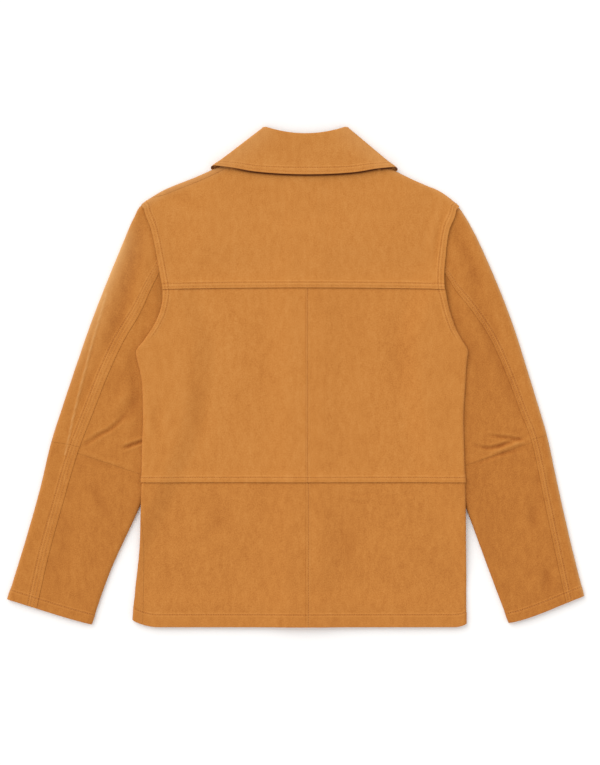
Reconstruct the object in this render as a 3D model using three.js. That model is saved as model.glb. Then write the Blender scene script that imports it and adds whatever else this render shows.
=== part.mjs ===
// A suede jacket that lies flat on its fronts, with its back up.
// Millimetres, +Z up. The hem lies towards -Y and the collar towards +Y, and the wearer's left is at -X.
// The origin is on the surface, under the middle of the jacket's outline.
import * as THREE from 'three';

// Driving sizes.
const WALL = 1.6;                 // thickness of the suede
const SEAM_GAP = 0.3;             // between pieces that are sewn to each other
const SIDE_GAP = 0.4;             // the same along the side seams, which go round a fold
const BODY_HEIGHT = 5.6;          // from the outside of a front to the outside of the back
const BODY_CURL = 4;              // how far in from the edge the body starts to round off
const BODY_QUARTER = 5.4;         // length of cloth in a quarter turn round the body's edge
const SLEEVE_HEIGHT = 6.8;        // a flattened sleeve, both layers
const ARMHOLE_HEIGHT = 4.2;       // the same where it enters the armhole
const SLEEVE_CURL = 6;
const SLEEVE_QUARTER = 7.6;
const OVER_SLEEVE = 7.1;          // underside of a front where it lies on a sleeve
const SLEEVE_CLEAR = 8;           // how far past the sleeve it stays up
const SLEEVE_SLOPE = 42;          // width of the slope from there down to the surface
const SEAM_LAP = 6;               // one back piece under the next at the yoke and waist seams
const LAP_RISE = 1.4;             // how far the upper piece stands up at such a seam
const LAP_SINK = 0.75;            // how far the lower piece is pressed in under it
const HEM_DEPTH = 18;             // turned hem of the body
const CUFF_DEPTH = 15;            // turned hem of a sleeve
const HEM_EXTRA = 0.8;            // what the turned layer adds inside
const YOKE_SEAM_Y = 133.5;
const WAIST_SEAM_Y = -159;
const HEM_Y = -374.5;
const CENTRE_BACK_X = 15;
const CENTRE_FRONT_X = 14;
const PLACKET_HALF = 15;          // the fronts overlap by twice this
const BUTTON_RADIUS = 10;
const BUTTON_HEIGHT = 2.4;
const BUTTON_YS = [222, 92, -38, -168, -298];
const PLACKET_LIFT = BUTTON_HEIGHT + SEAM_GAP;
const COLLAR_LIFT = 2.2;          // underside of the fronts over the collar's front points
const COLLAR_HALF = 1.9;          // half of the collar's thickness at its roll, leaf and stand together
const ROLL_CURL = 2.4;            // how far the roll rounds out
const COLLAR_CURL = 4;            // how far in from its side folds the collar starts to round off
const ROLL_TUCK = 2;              // how far past the roll the leaf reaches inside
const LEAF_SPRING = 1.2;          // how far the leaf's edge stands off the yoke

// Colours of the suede, a little apart, as hides are.
const SUEDE = { roughness: 0.95, metalness: 0 };
const TAN = 0xc7813f;
const TAN_LIGHT = 0xcb8643;
const TAN_DARK = 0xbe783a;
const HORN = 0x5a3a22;

// Edge of the back: the armhole seam down to the armpit at y 40, and the body's side below it.
const BODY_EDGE = [
  { y: 258, left: -232.5, right: 247 },
  { y: 250.5, left: -227.8, right: 241.5 },
  { y: 241.5, left: -223.5, right: 236.2 },
  { y: 223.5, left: -217.5, right: 230.2 },
  { y: 205.5, left: -213, right: 226.5 },
  { y: 183, left: -208.5, right: 224 },
  { y: 160.5, left: -204.5, right: 222 },
  { y: 138, left: -200.3, right: 222 },
  { y: 118.5, left: -199, right: 225 },
  { y: 100.5, left: -202.2, right: 228.9 },
  { y: 84, left: -208.5, right: 234 },
  { y: 69, left: -217, right: 240 },
  { y: 54, left: -228, right: 249 },
  { y: 40.5, left: -238.6, right: 256.8 },
  { y: 28.5, left: -238.2, right: 256.2 },
  { y: 10.5, left: -233.6, right: 254.5 },
  { y: -12, left: -230.3, right: 253.2 },
  { y: -57, left: -228.8, right: 250.5 },
  { y: -102, left: -230.3, right: 251.3 },
  { y: -154.5, left: -231, right: 252.8 },
  { y: -207, left: -232.5, right: 254 },
  { y: -252, left: -234, right: 254.3 },
  { y: -297, left: -238.5, right: 255 },
  { y: -334.5, left: -243.3, right: 255 },
  { y: -376, left: -245.5, right: 255 },
];

// How far the left front reaches round the fold onto the back, measured along the cloth.
const LEFT_SIDE_WRAP = [
  { y: 260, reach: 0 },
  { y: -185, reach: 0 },
  { y: -207, reach: 2.5 },
  { y: -252, reach: 7.5 },
  { y: -297, reach: 12 },
  { y: -340, reach: 16.5 },
  { y: -380, reach: 17.5 },
];

// Across the body, points stand close together round the side edge and over the hidden sleeve.
const SLEEVE_BAND = 112;
// Rows of points across the body: the skirt pieces, the back panels, and the fronts under both of them.
const SKIRT_ROWS = [-374.5, -356.5, -325, -290, -255, -220, -190, -171, -165, -159, -153];
const CHEST_Y = YOKE_SEAM_Y + SEAM_LAP;
const PANEL_ROWS = [-159, -153, -139, -110, -80, -50, -20, 5, 28, 40, 54, 70, 86, 103, 120, 127.5, 133.5,
  CHEST_Y];
const LAP_ROWS = [-165, -153, 127.5];
const FRONT_ROWS = [...SKIRT_ROWS.slice(0, -2), ...PANEL_ROWS].filter((y) => !LAP_ROWS.includes(y));

// Inner boundary of each sleeve, most of it hidden under the body.
const SLEEVE_INNER = [
  { y: 258, left: -232.5, right: 247 },
  { y: 250.5, left: -227.8, right: 241.5 },
  { y: 223.5, left: -213.5, right: 226.2 },
  { y: 183, left: -204.4, right: 219.9 },
  { y: 138, left: -195.5, right: 216 },
  { y: 108, left: -188, right: 211 },
  { y: 84, left: -178, right: 203 },
  { y: 58.5, left: -168, right: 196 },
  { y: 25, left: -168, right: 197 },
  { y: -10, left: -170.5, right: 199 },
  { y: -40, left: -178, right: 203 },
  { y: -95, left: -191, right: 214 },
  { y: -151.5, left: -214.5, right: 232.5 },
  { y: -214.5, left: -243, right: 260 },
  { y: -291, left: -278.2, right: 288 },
  { y: -369.5, left: -306.3, right: 318.9 },
];

// Sections across each sleeve, from its outer fold to its inner fold. `seam` is where the back seam crosses,
// as a share of the width.
const LEFT_SLEEVE = [
  { outerX: -232.5, outerY: 257, innerX: -168, innerY: 58.5, seam: 0.5 },
  { outerX: -258, outerY: 204, innerX: -167.5, innerY: 37.5, seam: 0.45 },
  { outerX: -282, outerY: 145.5, innerX: -168, innerY: 15, seam: 0.41 },
  { outerX: -306, outerY: 84, innerX: -171, innerY: -9, seam: 0.335 },
  { outerX: -328.5, outerY: 19.5, innerX: -178.5, innerY: -39, seam: 0.27 },
  { outerX: -349.5, outerY: -43.5, innerX: -193.5, innerY: -100.5, seam: 0.248 },
  { outerX: -367.5, outerY: -100.5, innerX: -214.5, innerY: -151.5, seam: 0.243 },
  { outerX: -384, outerY: -169.5, innerX: -243, innerY: -214.5, seam: 0.248 },
  { outerX: -406.5, outerY: -249, innerX: -278.2, innerY: -291, seam: 0.278 },
  { outerX: -432.5, outerY: -333, innerX: -306.3, innerY: -370.5, seam: 0.343 },
];
const RIGHT_SLEEVE = [
  { outerX: 247, outerY: 253.5, innerX: 196, innerY: 58.5, seam: 0.49 },
  { outerX: 272, outerY: 207, innerX: 196.5, innerY: 37.5, seam: 0.44 },
  { outerX: 301.5, outerY: 139.5, innerX: 197, innerY: 15, seam: 0.345 },
  { outerX: 325.5, outerY: 76.5, innerX: 199, innerY: -9, seam: 0.26 },
  { outerX: 346.5, outerY: 10.5, innerX: 204, innerY: -42, seam: 0.21 },
  { outerX: 363, outerY: -43.5, innerX: 216, innerY: -94.5, seam: 0.183 },
  { outerX: 376.5, outerY: -90, innerX: 232.5, innerY: -139.5, seam: 0.163 },
  { outerX: 393, outerY: -166.5, innerX: 261, innerY: -213, seam: 0.178 },
  { outerX: 411, outerY: -246, innerX: 289.5, innerY: -291, seam: 0.203 },
  { outerX: 431.5, outerY: -328.2, innerX: 318.9, innerY: -368.4, seam: 0.24 },
];
const FRONT_SEAM_SHARE = 0.72;    // the sleeve's front seam, on its hidden side
const ELBOW = 6;                  // the elbow seam lies along this section
const CUFF = 9;
const ELBOW_SECTION = 60;         // length of sleeve between two sections at the elbow
const CUFF_SECTION = 82;          // and at the cuff
const CUFF_BOW = { left: 1.2, right: 3 };    // how far the cuff's edge bows past its corners
const LEFT_ELBOW_STEP = 0.15;     // how much higher it lies at the back seam on the outer piece
const RIGHT_ELBOW_STEP = 0.07;

// Main folds: soft troughs from one point to another, with half their width and their depth.
const FOLDS = [
  { x1: -304, y1: -94, x2: -247, y2: -50, half: 13, depth: 1.4 },
  { x1: -252, y1: -104, x2: -228, y2: -95, half: 12, depth: 1.5 },
  { x1: 276, y1: -104, x2: 318, y2: -92, half: 13, depth: 1.4 },
  { x1: 284, y1: 205, x2: 309, y2: 140, half: 16, depth: 1.2 },
  { x1: 350, y1: -190, x2: 360, y2: -290, half: 15, depth: 1.2 },
  { x1: -150, y1: 20, x2: -146, y2: -95, half: 20, depth: 0.9 },
];

const BODY_FOLD = 0.9;            // the deepest that a fold goes into the body
const SLEEVE_FOLD = 1.5;          // and into a sleeve

// Small numeric helpers.
const mix = (a, b, t) => a + (b - a) * t;
const clamp = THREE.MathUtils.clamp;
const ease = (value, low, high) => THREE.MathUtils.smoothstep(value, low, high);

// A smooth curve through one column of a table, read at any value of its key column.
function tableCurve(rows, key, column) {
  const sorted = [...rows].sort((a, b) => a[key] - b[key]);
  const last = sorted.length - 1;
  const slope = (i) => {
    const low = sorted[Math.max(i - 1, 0)];
    const high = sorted[Math.min(i + 1, last)];
    return (high[column] - low[column]) / (high[key] - low[key]);
  };
  return (value) => {
    const at = clamp(value, sorted[0][key], sorted[last][key]);
    let i = 0;
    while (i < last - 1 && at > sorted[i + 1][key]) i += 1;
    const span = sorted[i + 1][key] - sorted[i][key];
    const t = (at - sorted[i][key]) / span;
    const start = sorted[i][column];
    const end = sorted[i + 1][column];
    const bend = t * (1 - t) * span;
    const flat = mix(start, end, t * t * (3 - 2 * t));
    return flat + bend * ((1 - t) * slope(i) - t * slope(i + 1));
  };
}

// The value at a whole step along a broken line: stops[0] to stops[1] in counts[0] steps, and so on.
// Steps past either end go on at the same pace.
function stepAlong(stops, counts, index) {
  let left = index;
  let k = 0;
  while (k < counts.length - 1 && left > counts[k]) {
    left -= counts[k];
    k += 1;
  }
  return mix(stops[k], stops[k + 1], left / counts[k]);
}

const total = (counts) => counts.reduce((sum, count) => sum + count, 0);

// Where a point `reach` along the cloth from the edge of a flattened tube lies: how far in from the edge,
// and at what share of the tube's height. Reach is positive on the upper layer and negative on the lower.
function roundEdge(reach, curl, quarter) {
  if (reach >= quarter) return { inset: curl + reach - quarter, share: 1, turn: Math.PI / 2 };
  if (reach <= -quarter) return { inset: curl - reach - quarter, share: 0, turn: -Math.PI / 2 };
  const turn = (reach / quarter) * (Math.PI / 2);
  return { inset: curl * (1 - Math.cos(turn)), share: 0.5 + 0.5 * Math.sin(turn), turn };
}

// Depth of the main folds at a point of the plan.
function foldDepth(x, y) {
  let depth = 0;
  for (const fold of FOLDS) {
    const dx = fold.x2 - fold.x1;
    const dy = fold.y2 - fold.y1;
    const t = clamp(((x - fold.x1) * dx + (y - fold.y1) * dy) / (dx * dx + dy * dy), 0, 1);
    const away = Math.hypot(x - fold.x1 - dx * t, y - fold.y1 - dy * t);
    depth += fold.depth * (1 - ease(away, 0, fold.half));
  }
  return depth;
}

const bothSides = (rows) => ({ left: tableCurve(rows, 'y', 'left'), right: tableCurve(rows, 'y', 'right') });
const bodyEdge = bothSides(BODY_EDGE);
const sleeveInner = bothSides(SLEEVE_INNER);
const leftWrap = tableCurve(LEFT_SIDE_WRAP, 'y', 'reach');
const sideWrap = { left: (y) => Math.max(leftWrap(y), 0), right: () => 0 };
const inward = { left: 1, right: -1 };

// Underside of the fronts over the surface: up over the sleeves, the collar's points and the buttons.
function overSleeve(side, x, y) {
  const beyond = inward[side] * (x - sleeveInner[side](y));
  const across = 1 - ease(beyond, SLEEVE_CLEAR, SLEEVE_CLEAR + SLEEVE_SLOPE);
  return OVER_SLEEVE * across * (1 - ease(y, 110, 180));
}

function overCollar(x, y) {
  const across = Math.abs(x - CENTRE_FRONT_X);
  return COLLAR_LIFT * ease(y, 160, 206) * (1 - ease(across, 145, 200));
}

function overButtons(x) {
  return PLACKET_LIFT * (1 - ease(Math.abs(x - CENTRE_FRONT_X), PLACKET_HALF + 3, 60));
}

function frontHeight(x, y) {
  const lifts = [overSleeve('left', x, y), overSleeve('right', x, y), overCollar(x, y), overButtons(x)];
  return Math.max(...lifts);
}

// 1 over the turned hems, and nothing well above them.
function hemShare(y) {
  return 1 - ease(y, HEM_Y + HEM_DEPTH + 14, HEM_Y + HEM_DEPTH + 40);
}

// The right front lies on the left front's edge in the overlap.
function rightFrontHeight(x, y) {
  const layer = WALL + 2 * SEAM_GAP + HEM_EXTRA * hemShare(y);
  const across = 1 - ease(x - CENTRE_FRONT_X, PLACKET_HALF + 2, PLACKET_HALF + 40);
  return frontHeight(x, y) + layer * across;
}

// Outside of the back over the surface.
function backHeight(x, y) {
  const armhole = Math.min(x - bodyEdge.left(y), bodyEdge.right(y) - x);
  const overLap = 1.3 * (1 - ease(armhole, 6, 30)) * ease(y, 125, 160);
  const overPlacket = 1.6 * (1 - ease(Math.abs(x - CENTRE_FRONT_X - 12), 30, 100)) * (1 - ease(y, 215, 245));
  const overHem = 1.7 * hemShare(y);
  const thick = BODY_HEIGHT + overLap + overPlacket + overHem;
  return frontHeight(x, y) + thick - Math.min(foldDepth(x, y), BODY_FOLD);
}

// A closed thin wall. outer(column, row) gives the points of its outside, and its inside lies
// thickness(column, row) behind them. face is 1 where columns cross rows pointing out of the cloth, and -1
// where they point in.
// Where `past` names the sides or the top, outer is also read one step past them, which keeps the true normal
// of an edge that ends on a curve.
function clothWall(name, colour, columns, rows, face, outer, thickness = () => WALL, past = {}) {
  const width = columns + 1;
  const count = width * (rows + 1);
  const points = [];
  for (let r = 0; r <= rows; r += 1) {
    for (let c = 0; c <= columns; c += 1) points.push(outer(c, r));
  }
  const inside = (c, r) => c >= 0 && c <= columns && r <= rows;
  const at = (c, r) => (inside(c, r) ? points[r * width + c] : outer(c, r));
  // The way along a line of points at one of them. At an end it comes from the next two points.
  const wayAt = (line, i, atEnd) => {
    if (!atEnd) return new THREE.Vector3().subVectors(line(i + 1), line(i - 1));
    const step = i === 0 ? 1 : -1;
    const near = new THREE.Vector3().subVectors(line(i + step), line(i));
    const far = new THREE.Vector3().subVectors(line(i + 2 * step), line(i));
    const nearLength = near.length();
    const farLength = nearLength + line(i + 2 * step).distanceTo(line(i + step));
    near.multiplyScalar(farLength / nearLength).addScaledVector(far, -nearLength / farLength);
    return near.multiplyScalar(step);
  };
  const positions = new Float32Array(count * 6);
  for (let r = 0; r <= rows; r += 1) {
    for (let c = 0; c <= columns; c += 1) {
      const along = wayAt((i) => at(i, r), c, !past.sides && (c === 0 || c === columns));
      const across = wayAt((i) => at(c, i), r, r === 0 || (!past.top && r === rows));
      const normal = along.cross(across).normalize().multiplyScalar(face);
      const index = r * width + c;
      at(c, r).toArray(positions, index * 3);
      const inner = at(c, r).clone().addScaledVector(normal, -thickness(c, r));
      inner.toArray(positions, (count + index) * 3);
    }
  }
  const triangles = [];
  const quad = (a, b, c, d) => {
    if (face > 0) triangles.push(a, b, c, a, c, d);
    else triangles.push(a, c, b, a, d, c);
  };
  for (let r = 0; r < rows; r += 1) {
    for (let c = 0; c < columns; c += 1) {
      const a = r * width + c;
      quad(a, a + 1, a + width + 1, a + width);
      quad(count + a, count + a + width, count + a + width + 1, count + a + 1);
    }
  }
  for (let c = 0; c < columns; c += 1) {
    const top = rows * width + c;
    quad(count + c, count + c + 1, c + 1, c);
    quad(top, top + 1, count + top + 1, count + top);
  }
  for (let r = 0; r < rows; r += 1) {
    const low = r * width;
    const end = low + columns;
    quad(low, low + width, count + low + width, count + low);
    quad(end, count + end, count + end + width, end + width);
  }
  const geometry = new THREE.BufferGeometry();
  geometry.setAttribute('position', new THREE.BufferAttribute(positions, 3));
  geometry.setIndex(triangles);
  return namedMesh(name, geometry, { color: colour, ...SUEDE });
}

function namedMesh(name, geometry, finish) {
  const mesh = new THREE.Mesh(geometry, new THREE.MeshStandardMaterial(finish));
  mesh.name = name;
  return mesh;
}

// One point of the flattened body: `reach` along the cloth from its side edge, `sink` in from its outside.
// Above the armpit the edge is cut, not rounded.
function bodyPoint(side, reach, y, layer, sink = 0) {
  const bend = roundEdge(reach, BODY_CURL, BODY_QUARTER);
  const rounded = 1 - ease(y, 108, 138);
  const edge = layer === 'back' ? bodyEdge[side](y) : frontEdge(side, y);
  const x = edge + inward[side] * (bend.inset + sink * Math.cos(bend.turn) * rounded);
  const share = mix(reach >= 0 ? 1 : 0, bend.share, rounded);
  const low = side === 'right' && layer === 'front' ? rightFrontHeight(x, y) : frontHeight(x, y);
  const z = mix(low, backHeight(x, y), share) - sink * (2 * share - 1);
  return new THREE.Vector3(x, y, z);
}

// The fronts stop short of the sleeves' lower layer at the armhole.
function frontEdge(side, y) {
  const beside = sleeveInner[side](y) + inward[side] * (SEAM_GAP + 1.2);
  return mix(bodyEdge[side](y), beside, ease(y, 124, 138));
}

// A lower corner of the body is rounded.
const CORNER_REACH = 60;
function cornerRise(side, inset) {
  const size = side === 'left' ? { width: 40, rise: 10.5 } : { width: 18, rise: 4.5 };
  return size.rise * (1 - clamp(inset / size.width, 0, 1)) ** 2;
}

// Back panels and skirt pieces: from the side edge to the centre back, between two seams.
function backPiece(name, colour, side, span) {
  const bands = [4, 6, 4];
  const columns = total(bands);
  const rowY = (r) => span.ys[r];
  const [low, high] = [span.ys[0], span.ys[span.ys.length - 1]];
  const outer = (c, r) => {
    const y = rowY(r);
    const start = sideWrap[side](y) + SIDE_GAP / 2;
    const flat = BODY_QUARTER + 2 + Math.max(start - BODY_QUARTER, 0);
    const centre = Math.abs(CENTRE_BACK_X - bodyEdge[side](y)) - SEAM_GAP / 2;
    const end = centre - BODY_CURL + BODY_QUARTER;
    const reach = stepAlong([start, flat, SLEEVE_BAND, end], bands, c);
    const rise = span.lapsBelow ? LAP_RISE * (1 - ease(y, low + SEAM_LAP, low + 20)) : 0;
    const sink = LAP_SINK * ease(y, high - 12, high - SEAM_LAP);
    const point = bodyPoint(side, reach, y, 'back', sink - rise);
    if (span.hem) {
      const nearHem = 1 - clamp((y - HEM_Y) / CORNER_REACH, 0, 1);
      point.y += cornerRise(side, Math.abs(point.x - bodyEdge[side](y))) * nearHem ** 2;
    }
    return point;
  };
  const thickness = (c, r) => WALL + (span.hem && rowY(r) <= HEM_Y + HEM_DEPTH ? HEM_EXTRA : 0);
  const face = side === 'left' ? 1 : -1;
  return clothWall(name, colour, columns, span.ys.length - 1, face, outer, thickness, { sides: true });
}

// Outline of the body above its armholes, seen in plan: the shoulder folds and the neck seam.
const SHOULDER_TIP = { left: [-232, 257.3], right: [244.6, 255] };
const NECK_POINT = { left: [-69, 339], right: [97, 336] };
// How far each shoulder bows out from the straight line between its tip (0) and the neck (1).
const SHOULDER_BOW = [
  { along: 0, left: 0, right: 0 },
  { along: 0.06, left: 3.2, right: 3.4 },
  { along: 0.14, left: 5, right: 6.4 },
  { along: 0.24, left: 5.6, right: 7.1 },
  { along: 0.36, left: 4.4, right: 5.8 },
  { along: 0.5, left: 2.3, right: 4 },
  { along: 0.64, left: 1, right: 2.8 },
  { along: 1, left: 0, right: 0 },
];
const shoulderBow = {
  left: tableCurve(SHOULDER_BOW, 'along', 'left'),
  right: tableCurve(SHOULDER_BOW, 'along', 'right'),
};
const BACK_NECK_BOW = -9;
const FRONT_NECK = [CENTRE_FRONT_X, 246];
const FRONT_NECK_BOW = 24;
const LEFT_SHOULDER_WRAP = 9;     // the left front reaches this far over the shoulder onto the back

// A point of a line from a to b that lies `offset` to the left of its way, and `slope` is how fast that grows.
function bowed(a, b, offset, slope, t) {
  const dx = b[0] - a[0];
  const dy = b[1] - a[1];
  const length = Math.hypot(dx, dy);
  const x = mix(a[0], b[0], t) - (dy * offset) / length;
  const y = mix(a[1], b[1], t) + (dx * offset) / length;
  const tangent = new THREE.Vector2(dx - (dy * slope) / length, dy + (dx * slope) / length).normalize();
  return { x, y, normal: new THREE.Vector2(-tangent.y, tangent.x) };
}

// A shallow arc from a to b, bowed to the left of its way by `bow` at its middle.
function arc(a, b, bow, t) {
  return bowed(a, b, bow * 4 * t * (1 - t), bow * 4 * (1 - 2 * t), t);
}

// How far the fronts reach over the shoulder fold: nothing at both ends of the seam.
function shoulderWrap(side, t) {
  return side === 'left' ? LEFT_SHOULDER_WRAP * ease(t, 0.02, 0.25) * (1 - ease(t, 0.75, 0.98)) : 0;
}

// The shoulder fold of one side, from its tip (t = 0) to the neck (t = 1). At the tip the sleeve takes over.
function shoulderLine(side, t) {
  const tip = SHOULDER_TIP[side];
  const neck = NECK_POINT[side];
  const bow = shoulderBow[side];
  const near = 0.02;
  const slope = (bow(t + near) - bow(t - near)) / (Math.min(t + near, 1) - Math.max(t - near, 0));
  const line = side === 'left' ? bowed(tip, neck, bow(t), slope, t) : bowed(neck, tip, bow(t), -slope, 1 - t);
  return { ...line, fold: ease(t, 0, 0.05), wrap: shoulderWrap(side, t) };
}

// The yoke's upper boundary, column by column: a shoulder, the neck seam and the other shoulder.
const SHOULDER_STEPS = 8;
const NECK_STEPS = 8;
function yokeTop(c) {
  if (c <= SHOULDER_STEPS) return shoulderLine('left', c / SHOULDER_STEPS);
  const t = (c - SHOULDER_STEPS) / NECK_STEPS;
  if (t >= 1) return shoulderLine('right', 2 - (c - NECK_STEPS) / SHOULDER_STEPS);
  const fold = 1 - ease(Math.min(t, 1 - t), 0, 0.12);
  return { ...arc(NECK_POINT.left, NECK_POINT.right, BACK_NECK_BOW, t), fold, wrap: 0 };
}

// A front's upper boundary: its shoulder, then the neck seam down to the centre front and its own edge.
const FRONT_NECK_STEPS = 6;
function frontTop(side, c) {
  if (c <= SHOULDER_STEPS) return shoulderLine(side, c / SHOULDER_STEPS);
  const t = (c - SHOULDER_STEPS) / FRONT_NECK_STEPS;
  if (t > 1) {
    const x = CENTRE_FRONT_X + inward[side] * PLACKET_HALF;
    return { x, y: FRONT_NECK[1], normal: new THREE.Vector2(0, 1), fold: 0, wrap: 0 };
  }
  const line = side === 'left'
    ? arc(NECK_POINT.left, FRONT_NECK, -FRONT_NECK_BOW, t)
    : arc(FRONT_NECK, NECK_POINT.right, -FRONT_NECK_BOW, 1 - t);
  return { ...line, fold: 1 - ease(t, 0, 0.15), wrap: 0 };
}

// A plan point of a patch whose columns run from low to high, with its two side columns led along curves.
// The curves give the sideways pull at the share s of the width and t of the height.
function patchPoint(low, high, leftPull, rightPull, s, t) {
  return {
    x: mix(low.x, high.x, t) + mix(leftPull.x, rightPull.x, s),
    y: mix(low.y, high.y, t) + mix(leftPull.y, rightPull.y, s),
  };
}

// How far an armhole edge lies from the straight line between its ends.
function armholePull(edge, low, high, t) {
  const y = mix(low.y, high.y, t);
  const settle = 1 - ease(t, 0.75, 1);
  return { x: (edge(y) - mix(low.x, high.x, t)) * settle, y: 0 };
}

function insetTop(edge, inset) {
  return { x: edge.x - edge.normal.x * inset, y: edge.y - edge.normal.y * inset };
}

// A point on the shoulder fold or the cut neck edge, `reach` along the cloth from the outline.
function shoulderPoint(edge, reach, layer) {
  const bend = roundEdge(reach, BODY_CURL, BODY_QUARTER);
  const share = mix(layer === 'back' ? 1 : 0, bend.share, edge.fold);
  const { x, y } = insetTop(edge, Math.max(bend.inset, SEAM_GAP / 2));
  return new THREE.Vector3(x, y, mix(frontHeight(x, y), backHeight(x, y), share));
}

function backYoke() {
  const columns = 2 * SHOULDER_STEPS + NECK_STEPS;
  const heights = [0, 0.03, 0.06, 0.12, 0.24, 0.4, 0.56, 0.72, 0.87, 1];
  const edgeRows = 4;
  const margin = 3;
  const seamEnds = [bodyEdge.left(YOKE_SEAM_Y), bodyEdge.right(YOKE_SEAM_Y)];
  const low = (c) => ({ x: mix(seamEnds[0], seamEnds[1], c / columns), y: YOKE_SEAM_Y });
  const extra = (edge) => Math.max(edge.wrap - BODY_QUARTER, 0);
  const high = (c) => insetTop(yokeTop(c), BODY_CURL + margin + extra(yokeTop(c)));
  const outer = (c, r) => {
    if (r < heights.length) {
      const t = heights[r];
      const leftPull = armholePull(bodyEdge.left, low(0), high(0), t);
      const rightPull = armholePull(bodyEdge.right, low(columns), high(columns), t);
      const plan = patchPoint(low(c), high(c), leftPull, rightPull, c / columns, t);
      const rise = LAP_RISE * (1 - ease(plan.y, YOKE_SEAM_Y + SEAM_LAP, YOKE_SEAM_Y + 20));
      return new THREE.Vector3(plan.x, plan.y, backHeight(plan.x, plan.y) + rise);
    }
    const edge = yokeTop(c);
    const start = BODY_QUARTER + margin + extra(edge);
    const step = (r - heights.length + 1) / edgeRows;
    return shoulderPoint(edge, mix(start, edge.wrap + SEAM_GAP / 2, step), 'back');
  };
  const rows = heights.length - 1 + edgeRows;
  return clothWall('back_yoke', TAN_LIGHT, columns, rows, 1, outer, () => WALL, { top: true });
}

// A front: from the side edge to its own edge past the centre front, and up to the shoulder and neck.
function front(side) {
  const bands = side === 'left' ? [5, 6, 4] : [4, 6, 5];
  const columns = total(bands);
  const chestHeights = [0.16, 0.33, 0.5, 0.67, 0.84, 1];
  const edgeRows = side === 'left' ? 6 : 4;
  const margin = 2;
  const ownEdge = CENTRE_FRONT_X + inward[side] * PLACKET_HALF;
  const layerHeight = side === 'right' ? rightFrontHeight : frontHeight;
  const sidePoint = (c, y) => {
    const start = sideWrap[side](y) - SIDE_GAP / 2;
    const end = -(Math.abs(ownEdge - frontEdge(side, y)) - BODY_CURL + BODY_QUARTER);
    const reach = stepAlong([start, -(BODY_QUARTER + margin), -SLEEVE_BAND, end], bands, c);
    return bodyPoint(side, reach, y, 'front');
  };
  const bodyRows = FRONT_ROWS.length - 1;
  const low = (c) => sidePoint(c, CHEST_Y);
  const high = (c) => insetTop(frontTop(side, c), BODY_CURL + margin);
  const share = (c) => Math.abs(low(c).x - low(0).x) / Math.abs(low(columns).x - low(0).x);
  const outer = (c, r) => {
    if (r <= bodyRows) {
      const y = FRONT_ROWS[r];
      const point = sidePoint(c, y);
      const nearHem = 1 - clamp((y - HEM_Y) / CORNER_REACH, 0, 1);
      point.y += cornerRise(side, Math.abs(point.x - bodyEdge[side](y))) * nearHem ** 2;
      return point;
    }
    if (r <= bodyRows + chestHeights.length) {
      const t = chestHeights[r - bodyRows - 1];
      const sidePull = armholePull((y) => frontEdge(side, y), low(0), high(0), t);
      const s = mix(share(c), c / columns, t);
      const plan = patchPoint(low(c), high(c), sidePull, { x: 0, y: 0 }, s, t);
      return new THREE.Vector3(plan.x, plan.y, layerHeight(plan.x, plan.y));
    }
    const edge = frontTop(side, c);
    const step = (r - bodyRows - chestHeights.length) / edgeRows;
    const point = shoulderPoint(edge, mix(-(BODY_QUARTER + margin), edge.wrap - SEAM_GAP / 2, step), 'front');
    point.z += (layerHeight(point.x, point.y) - frontHeight(point.x, point.y)) * (1 - edge.fold);
    return point;
  };
  const rows = bodyRows + chestHeights.length + edgeRows;
  const thickness = (c, r) => WALL + (FRONT_ROWS[r] <= HEM_Y + HEM_DEPTH ? HEM_EXTRA : 0);
  const face = side === 'left' ? -1 : 1;
  const past = { sides: true, top: true };
  return clothWall(`front_${side}`, TAN_DARK, columns, rows, face, outer, thickness, past);
}

// A sleeve is a flattened tube. `along` counts its sections from the armhole to the cuff.
function sleeveShape(side, table) {
  const numbered = table.map((row, index) => ({ ...row, index }));
  const column = {};
  for (const name of ['outerX', 'outerY', 'innerX', 'innerY', 'seam']) {
    column[name] = tableCurve(numbered, 'index', name);
  }
  const heightAt = (along) => mix(ARMHOLE_HEIGHT, SLEEVE_HEIGHT, ease(along, 0.1, 1.6));
  const width = (along) => {
    const dx = column.innerX(along) - column.outerX(along);
    const dy = column.innerY(along) - column.outerY(along);
    return Math.hypot(dx, dy);
  };
  // Round the tube: 0 at the outer fold, `round` at the inner fold, and on along the lower layer.
  const round = (along) => width(along) - 2 * SLEEVE_CURL + 2 * SLEEVE_QUARTER;
  const reachOf = (share, along) => share * width(along) - SLEEVE_CURL + SLEEVE_QUARTER;
  const bulge = (share, along) => {
    const y = mix(column.outerY(0), column.innerY(0), share);
    const straight = mix(column.outerX(0), column.innerX(0), share);
    return (sleeveInner[side](y) - straight) * (1 - ease(along, 0, 2.2));
  };
  const point = (reach, along) => {
    const full = round(along);
    const upper = reach >= 0 && reach <= full;
    const near = reach < full / 2 ? reach : full - reach;
    const away = reach > full * 1.5 ? reach - 2 * full : near;
    const bend = roundEdge(away, SLEEVE_CURL, SLEEVE_QUARTER);
    const fromOuter = reach < full / 2 || reach > full * 1.5;
    const offset = fromOuter ? bend.inset : width(along) - bend.inset;
    const share = offset / width(along);
    const x = mix(column.outerX(along), column.innerX(along), share) + bulge(share, along);
    const bow = CUFF_BOW[side] * 6.75 * share * share * (1 - share) * ease(along, CUFF - 1, CUFF);
    const y = mix(column.outerY(along), column.innerY(along), share) - bow;
    const fold = upper && along > 0.5 ? Math.min(foldDepth(x, y), SLEEVE_FOLD) : 0;
    return new THREE.Vector3(x, y, heightAt(along) * bend.share - fold * (2 * bend.share - 1));
  };
  return { column, round, reachOf, point };
}

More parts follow.
